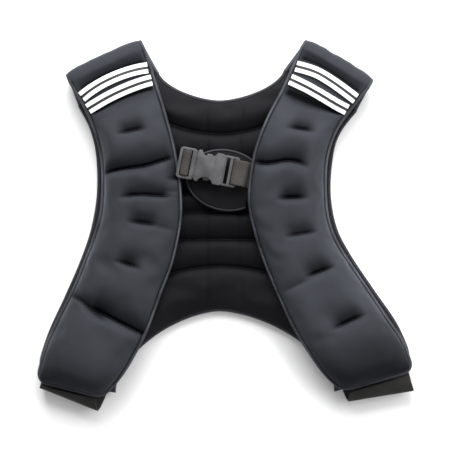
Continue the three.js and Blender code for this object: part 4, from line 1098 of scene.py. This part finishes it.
outerLine = np.concatenate([backMiddle[1:, 0][::-1], backMiddle[0], backMiddle[1:, -1]])
neckShares = np.linspace(backJoints[0] + 0.002, backJoints[1] - 0.002, 90)
neckLine = backPlan(np.ones_like(neckShares), neckShares) + edgeLevel
backSewn = []
for name, line, side in (("outer", outerLine, 1), ("neck", neckLine, -1)):
    node = f"binding_back_{name}"
    lineUp = np.tile(upward, (len(line), 1))
    bindingPiece(node + "_cloth", line, lineUp, side, node, pipingCloth, binding["back"])
    backSewn += sewnLine(line, lineUp, side, binding["back"])
for panel in frontPanels:
    m, n = panel["middle"], panel["normal"]
    line = np.concatenate([m[::-1, 0], m[0, 1:-1], m[:, -1]])
    normal = np.concatenate([n[::-1, 0], n[0, 1:-1], n[:, -1]])
    line, normal = tuckedEnds(line), np.concatenate([normal[:1], normal, normal[-1:]])
    node = f"binding_front_{panel['name']}"
    panel["sewn"] = sewnLine(line, normal, panel["side"], binding["front"])
    bindingPiece(node + "_cloth", line, normal, panel["side"], node, bindingCloth, binding["front"])
print("bindings made")


# Reflective tapes


def tapeSection(width):
    # two raised lines with a groove between, as (across, up) corners
    half, top = width / 2, tapes["thickness"]
    rise = [(half, 0), (half, top * 0.8), (half * 0.94, top), (half * 0.2, top)]
    rise.append((half * 0.12, top - tapes["groove"]))
    return np.array([(-half, 0)] + rise + [(-x, y) for x, y in rise[:0:-1]])


tapeSewn = []


def tapeOn(name, tree, spots, width, side, material, node):
    # a tape that lies across the cloth, high enough to clear it over its whole width
    run = unit((np.gradient(spots, axis=0)) * (1, 1, 0))
    across = np.cross(run, upward)
    places = np.array([0, 0.25, 0.5, 0.75, 1])
    heights = np.array([
        [heightIn(tree, x, y, side > 0, z) for x, y, z in spots + across * (place - 0.5) * width]
        for place in places
    ])
    lowEnd = spots - across * width / 2
    highEnd = spots + across * width / 2
    lowEnd[:, 2], highEnd[:, 2] = heights[0], heights[-1]
    out = unit(highEnd - lowEnd)
    up = unit(np.cross(out, run))
    up = up * np.sign(up[:, 2:]) * side
    straight = mix(heights[0], heights[-1], places[:, None])
    proud = np.maximum(np.max(side * (heights - straight), axis=0), 0)
    line = (lowEnd + highEnd) / 2 + up * (proud[:, None] + vest["clearance"])
    section = tapeSection(width)
    piece = sweepAlong(name, line, out, up, section, section[:, 0])
    tapeSewn.append(line + up * (tapes["thickness"] - tapes["groove"] + 0.1))
    piece.data.shade_flat()
    return dress(piece, "reflective", material, node)


for panel in frontPanels:
    shares = np.linspace(tapes["inset"], 1 - tapes["inset"], tapes["steps"])
    for which, (name, outerAt, innerAt) in enumerate(panel["tapes"]):
        at = mix(outerAt, innerAt, shares) + bowOf(panel, which, shares) / frontRun
        outer, inner, _, _ = frontEdges(panel["sections"], at)
        spots = mix(outer, inner, shares[:, None])
        node = f"front_tape_{panel['name']}_{name}"
        tapeOn(node + "_cloth", panel["tree"], spots, tapes["width"], 1, tapeCloth, node)
    start, end = (mix(a, b, tapes["backPlace"]) for a, b in zip(panel["axis"], panel["seam"]))
    spots = mix(start, end, shares[:, None])
    node = f"back_tape_{panel['name']}"
    tapeOn(node + "_cloth", panel["tree"], spots, tapes["width"], -1, tapeCloth, node)
stripe = backPlan(np.linspace(0.05, 0.95, tapes["centreSteps"]), 0.5) + edgeLevel
node = "back_tape_centre"
tapeOn(node + "_cloth", backTree, stripe, tapes["centreWidth"], -1, centreTapeCloth, node)
print("tapes made")


# Mesh pocket and its band, under the back

pocket = {
    "top": 0.08, "thickness": 1.2, "band": 11.0, "inset": 0.002, "rows": 40, "columns": 90, "bandRows": 6,
}


def underSheet(name, along, across):
    here = backPlan(along, across)
    top = vest["backEdgeZ"] - backBelow(backRims(here, along, across)) - vest["clearance"]
    over = here + upward * top[..., None]
    return closedCloth(name, over, over - upward * pocket["thickness"])


across = np.linspace(pocket["inset"], 1 - pocket["inset"], pocket["columns"])
topY = planPoint(0, pocket["top"])[1]
share = np.linspace(0, 1, pocket["rows"])[:, None]
along = share * alongAt(across, topY)[None, :]
pocketPiece = underSheet("mesh_pocket_cloth", along, np.broadcast_to(across, along.shape))
dress(pocketPiece, "mesh", meshCloth, "mesh_pocket")
bandY = topY + vest["clearance"] + np.linspace(0, 1, pocket["bandRows"]) * pocket["band"]
bandAlong = np.stack([alongAt(across, y) for y in bandY])
bandPiece = underSheet("pocket_band_cloth", bandAlong, np.broadcast_to(across, bandAlong.shape))
dress(bandPiece, "elastic", elastic, "pocket_band")
pocketSpan = np.ptp(vertexArray(pocketPiece), axis=0)


# Elastic side straps, folded under the ends of the front panels

strap = {"thickness": 2.2, "inset": 0.06, "stand": 5.2, "steps": 48, "columns": 40, "ribSink": 0.15}
for panel in frontPanels:
    outer, inner, _, _ = frontEdges(panel["sections"], np.array(0.0))
    wingOuter, wingInner = backCorners(panel, 0.0)
    away = unit(np.cross((inner - outer) * (1, 1, 0), upward)) * panel["side"]
    radius = (vest["wingEndZ"] - vest["backEdgeZ"]) / 2
    shares = np.linspace(0, 1, strap["steps"])[:, None]
    v = np.linspace(0, 1, strap["columns"])[None, :]
    inset = mix(strap["inset"], 1 - strap["inset"], v)
    top = mix(outer, inner, inset[..., None])
    bottom = mix(wingOuter, wingInner, inset[..., None])
    reach = mix(*panel["reach"], v)
    angle = math.pi * shares
    point = mix(top, bottom, shares[..., None]) + away * (strap["stand"] + reach * np.sin(angle))[..., None]
    point[..., 2] = vest["backEdgeZ"] + radius * (1 + np.cos(angle)) + 0 * reach
    normal = away * (radius * np.sin(angle) + 0 * reach)[..., None]
    normal = unit(normal + upward * (reach * np.cos(angle))[..., None])
    half = strap["thickness"] / 2
    node = f"side_strap_{panel['name']}"
    piece = closedCloth(node + "_cloth", point + normal * half, point - normal * half)
    dress(piece, "elastic", elastic, node)
    face = point + normal * (half - strap["ribSink"])
    ribLines = [face[:, k] for k in range(1, strap["columns"] - 1)]
    alongLines(f"strap_ribs_{panel['name']}", ribLines, ribMaker, rib, elastic, "elastic")
print("side straps made")


# The oval pad behind the buckle

flap = {
    "length": 92.0, "height": 70.0, "thickness": 3.0, "centre": (0.0, 0.249), "cut": 0.32, "tilt": -11.0,
    "rings": 14, "steps": 72,
}


def flapPiece():
    tilt = math.radians(flap["tilt"])
    cutTurn = math.acos(2 * flap["cut"])
    turns = np.linspace(cutTurn, 2 * math.pi - cutTurn, flap["steps"])
    rim = np.stack([np.cos(turns) * flap["length"] / 2, np.sin(turns) * flap["height"] / 2], axis=-1)
    core = np.array([flap["length"] * flap["cut"], 0.0])
    shares = np.linspace(0, 1, flap["rings"])[:, None, None]
    flat = core + (rim - core)[None] * shares
    cos, sin = math.cos(tilt), math.sin(tilt)
    centre = planPoint(*flap["centre"])
    x = flat[..., 0] * cos - flat[..., 1] * sin + centre[0]
    y = flat[..., 0] * sin + flat[..., 1] * cos + centre[1]
    base = np.stack([x, y, np.full_like(x, vest["flapZ"])], axis=-1)
    crown = (1 - shares ** 4) * 0.5
    piece = closedCloth("buckle_flap_cloth", base + upward * (flap["thickness"] - 0.6 + crown), base)
    rimLine = base[-1] + (0, 0, flap["thickness"] / 2)
    return piece, rimLine


flapCloth, flapRim = flapPiece()
dress(flapCloth, "neoprene", shadedLining, "buckle_flap")
flapUp = np.tile(upward, (len(flapRim), 1))
bindingPiece("flap_binding_cloth", flapRim, flapUp, 1, "flap_binding", flapPiping, binding["flap"])
print("flap made")


# Chest webbing and buckle, in the buckle's own frame along the strap

buckle = {
    "centre": (-0.09, 0.316), "tilt": -11.0, "socket": 33.0, "plugFrame": 21.0, "ladder": 17.0,
    "bar": 3.2, "plugThickness": 4.6, "ladderThickness": 5.0,
}
webbing = {"width": 30.0, "thickness": 1.8, "steps": 150, "columns": 16}
tiltOfBuckle = math.radians(buckle["tilt"])
alongBuckle = np.array([math.cos(tiltOfBuckle), math.sin(tiltOfBuckle), 0.0])
acrossBuckle = np.array([-math.sin(tiltOfBuckle), math.cos(tiltOfBuckle), 0.0])
buckleMiddle = planPoint(*buckle["centre"], vest["buckleZ"])


def inBuckle(x, y, z):
    x, y, z = (np.asarray(k, float)[..., None] for k in (x, y, z))
    return buckleMiddle + alongBuckle * x + acrossBuckle * y + upward * z


def smoothPath(points, count):
    # centripetal curve through the points, stations at even steps
    points = np.asarray(points, float)
    ends = np.concatenate([[2 * points[0] - points[1]], points, [2 * points[-1] - points[-2]]])
    dense = []
    for k in range(1, len(ends) - 2):
        p0, p1, p2, p3 = ends[k - 1:k + 3]
        d = [max(math.sqrt(np.linalg.norm(b - a)), 1e-4) for a, b in ((p0, p1), (p1, p2), (p2, p3))]
        t0, t1 = 0.0, d[0]
        t2 = t1 + d[1]
        t3 = t2 + d[2]
        for t in np.linspace(t1, t2, 24, endpoint=k == len(ends) - 3):
            a1 = (t1 - t) / (t1 - t0) * p0 + (t - t0) / (t1 - t0) * p1
            a2 = (t2 - t) / (t2 - t1) * p1 + (t - t1) / (t2 - t1) * p2
            a3 = (t3 - t) / (t3 - t2) * p2 + (t - t2) / (t3 - t2) * p3
            b1 = (t2 - t) / (t2 - t0) * a1 + (t - t0) / (t2 - t0) * a2
            b2 = (t3 - t) / (t3 - t1) * a2 + (t - t1) / (t3 - t1) * a3
            dense.append((t2 - t) / (t2 - t1) * b1 + (t - t1) / (t2 - t1) * b2)
    dense = np.array(dense)
    run = runAlong(dense)
    even = np.linspace(0, run[-1], count)
    return np.stack([np.interp(even, run, dense[:, k]) for k in range(dense.shape[1])], axis=-1)


buckleStart = -(buckle["plugFrame"] + buckle["socket"] + buckle["ladder"]) / 2
socketStart = buckleStart + buckle["plugFrame"]
ladderStart = socketStart + buckle["socket"]
buckleEnd = ladderStart + buckle["ladder"]
slotLength = webbing["thickness"] * 2.4
overBar = webbing["thickness"] / 2 + 2 * vest["clearance"]
plugLap = buckle["plugThickness"] / 2 + overBar
sewnZ = vest["flapZ"] + flap["thickness"] + 2 * vest["clearance"] + webbing["thickness"] / 2 - vest["buckleZ"]
plugSlots = [buckleStart + k * buckle["bar"] + (k - 1) * slotLength for k in (1, 2)]
plugBar = plugSlots[1] - buckle["bar"] / 2
slotOuter, slotInner = (s + slotLength / 2 for s in plugSlots)
ladderSlots = [buckleEnd - k * (buckle["bar"] + slotLength) for k in (2, 1)]
ladderLap = buckle["ladderThickness"] / 2 + overBar
ladderSlot = ladderSlots[1] + slotLength / 2
endBar = buckleEnd - buckle["bar"] / 2
leftPath = [  # (x, z) from the sewn end: up through the inner slot, over the bar and back under it
    (buckleStart + 1, sewnZ), (buckleStart + 4.5, sewnZ + 0.1), (plugBar + 0.5, sewnZ + 2.6),
    (slotInner - 0.2, -plugLap * 1.1), (slotInner, 0), (slotInner - 0.1, plugLap * 0.6),
    (plugBar + 1, plugLap), (plugBar - 1, plugLap),
    (slotOuter + 0.1, plugLap * 0.6), (slotOuter + 0.1, -plugLap * 0.3),
    (plugBar - 1.2, -plugLap * 0.98), (plugBar, -plugLap),
]
rightPath = [  # from the sewn end: up over the ladder, round its last bar and back below
    (buckleEnd + 16, sewnZ), (buckleEnd + 13.1, sewnZ + 0.1), (buckleEnd + 10.6, sewnZ + 3),
    (buckleEnd + 9.8, -1.5), (buckleEnd + 8.2, ladderLap - 1.4), (buckleEnd + 4.5, ladderLap - 0.4),
    (endBar + 1, ladderLap),
    (endBar - 1, ladderLap), (ladderSlot, ladderLap * 0.4), (ladderSlot, -ladderLap * 0.4),
    (endBar - 1, -ladderLap), (endBar + 1, -ladderLap), (buckleEnd + 5, -ladderLap - 0.3),
]


def webbingPiece(path, node):
    line = smoothPath(path, webbing["steps"])
    tangent = unit(np.gradient(line, axis=0))
    up = np.stack([-tangent[:, 1], tangent[:, 0]], axis=-1)
    columns = np.linspace(-webbing["width"] / 2, webbing["width"] / 2, webbing["columns"])
    half = webbing["thickness"] / 2
    side = 1 - 0.35 * np.abs(columns / columns[-1]) ** 8  # thinner at both edges

    def grid(sign):
        x = line[:, :1] + sign * half * up[:, :1] * side
        z = line[:, 1:] + sign * half * up[:, 1:] * side
        return inBuckle(x, np.broadcast_to(columns, x.shape), z)

    return dress(closedCloth(node + "_cloth", grid(1), grid(-1)), "webbing", webbingCloth, node)


webbingPiece(leftPath, "webbing_left")
webbingPiece(rightPath, "webbing_right")


def bevelledCopy(node, name, width):
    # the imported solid's own mesh with its edges rounded off
    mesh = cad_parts[node].data.copy()
    thing = newObject(name, mesh)
    work = bmesh.new()
    work.from_mesh(mesh)
    bmesh.ops.remove_doubles(work, verts=work.verts, dist=1e-6)
    bmesh.ops.dissolve_limit(work, angle_limit=math.radians(2), verts=work.verts, edges=work.edges)
    work.to_mesh(mesh)
    work.free()
    modifier = thing.modifiers.new("edges", "BEVEL")
    modifier.width = width
    modifier.segments = 2
    modifier.limit_method = "ANGLE"
    modifier.angle_limit = math.radians(40)
    ownMesh(thing)
    thing.data.shade_smooth()
    return dress(thing, "plastic", bucklePlastic, node)


bevelledCopy("buckle_plug", "buckle_plug_moulded", 0.0005)
bevelledCopy("buckle_socket", "buckle_socket_moulded", 0.0008)
print("buckle made")


# Stitches

sewing = {"lift": 0.12, "channelSteps": 170, "barSteps": 14}
leastSewnDepth = 0.2  # of a crease; shallower ones are only folds
channelLines = []
for at, arch in backChannels:
    shares = np.linspace(0.06, 0.94, sewing["channelSteps"])
    spots = backPlan(channelAt(at, arch, shares), shares)
    spots[:, 2] = [heightIn(backTree, x, y, missing=vest["backEdgeZ"]) + sewing["lift"] for x, y, _ in spots]
    channelLines.append(spots)
alongLines("stitches_back", channelLines + backSewn, stitchMaker, stitch, thread, "neoprene")
for panel in frontPanels:
    barLines = []
    for crease in panel["creases"]:
        _, start, end, _, depth, _, _ = crease
        if depth < leastSewnDepth:
            continue
        v = np.linspace(max(start, 0.05), min(end, 0.95), sewing["barSteps"])
        outer, inner, _, _ = frontEdges(panel["sections"], creaseLine(crease, v))
        spots = mix(outer, inner, v[:, None])
        spots[:, 2] = [heightIn(panel["tree"], x, y, missing=z) + sewing["lift"] for x, y, z in spots]
        barLines.append(spots)
    name = f"stitches_front_{panel['name']}"
    alongLines(name, barLines + panel["sewn"], stitchMaker, stitch, thread, "neoprene")
tapeStitch = dict(stitch, Pitch=0.0026, Length=0.0019)
alongLines("stitches_tapes", tapeSewn, stitchMaker, tapeStitch, thread, "reflective")
print("stitches made")


# Finish of the padded panels

dress(backPiece, "neoprene", shadedLining, "back_panel")
for panel in frontPanels:
    dress(panel["piece"], "neoprene", neoprene, f"front_panel_{panel['name']}")


# Floor, light and camera

studio = {
    "floor": 3.0, "floorZ": -0.0004, "floorTones": (0.86, 0.9), "floorRoughness": 0.9,
    "lights": {  # place, size and power; all look at the middle of the vest
        "key": ((-0.15, 1.7, 1.25), 1.6, 86),
        "fill": ((1.4, 0.5, 1.1), 1.4, 26),
        "over": ((0, 0, 2.6), 2.0, 8),
    },
    "world": 0.42,
    "cameraHeight": 2.1, "aimHeight": 0.04, "span": 0.53, "sensor": 36,
}


def makeFloor():
    size, height = studio["floor"], studio["floorZ"]
    mesh = bpy.data.meshes.new("floor")
    corners = [(x * size, y * size, height) for x, y in ((-1, -1), (1, -1), (1, 1), (-1, 1))]
    mesh.from_pydata(corners, [], [(0, 1, 2, 3)])
    floor = newObject("floor", mesh)
    material, tree, shader = newMaterial("pale floor")
    place = addNode(tree, "ShaderNodeTexCoord").outputs["Object"]
    tones = [(k, (tone, tone, tone)) for k, tone in enumerate(studio["floorTones"])]
    feed(tree, shader, {
        "Base Color": rampOf(tree, noiseOf(tree, place, 2), tones),
        "Roughness": studio["floorRoughness"],
    })
    floor.data.materials.append(material)


def areaLight(name, place, size, power):
    data = bpy.data.lights.new(name, "AREA")
    data.energy = power
    data.size = size
    lamp = newObject(name, data)
    lamp.location = place
    lamp.rotation_mode = "QUATERNION"
    lamp.rotation_quaternion = (Vector((0, 0, 0)) - Vector(place)).to_track_quat("-Z", "Y")


makeFloor()
for name, settings in studio["lights"].items():
    areaLight(name, *settings)
scene = bpy.context.scene
scene.world = bpy.data.worlds.new("studio")
scene.world.use_nodes = True
background = scene.world.node_tree.nodes["Background"]
background.inputs["Color"].default_value = (1, 1, 1, 1)
background.inputs["Strength"].default_value = studio["world"]
scene.view_settings.view_transform = "Standard"

lens = bpy.data.cameras.new("camera")
lens.sensor_width = studio["sensor"]
lens.lens = studio["sensor"] * (studio["cameraHeight"] - studio["aimHeight"]) / studio["span"]
lens.clip_end = 20
camera = newObject("camera", lens)  # straight above, as in the photograph
camera.location = (0, 0, studio["cameraHeight"])
scene.camera = camera
print("floor, lights and camera made")
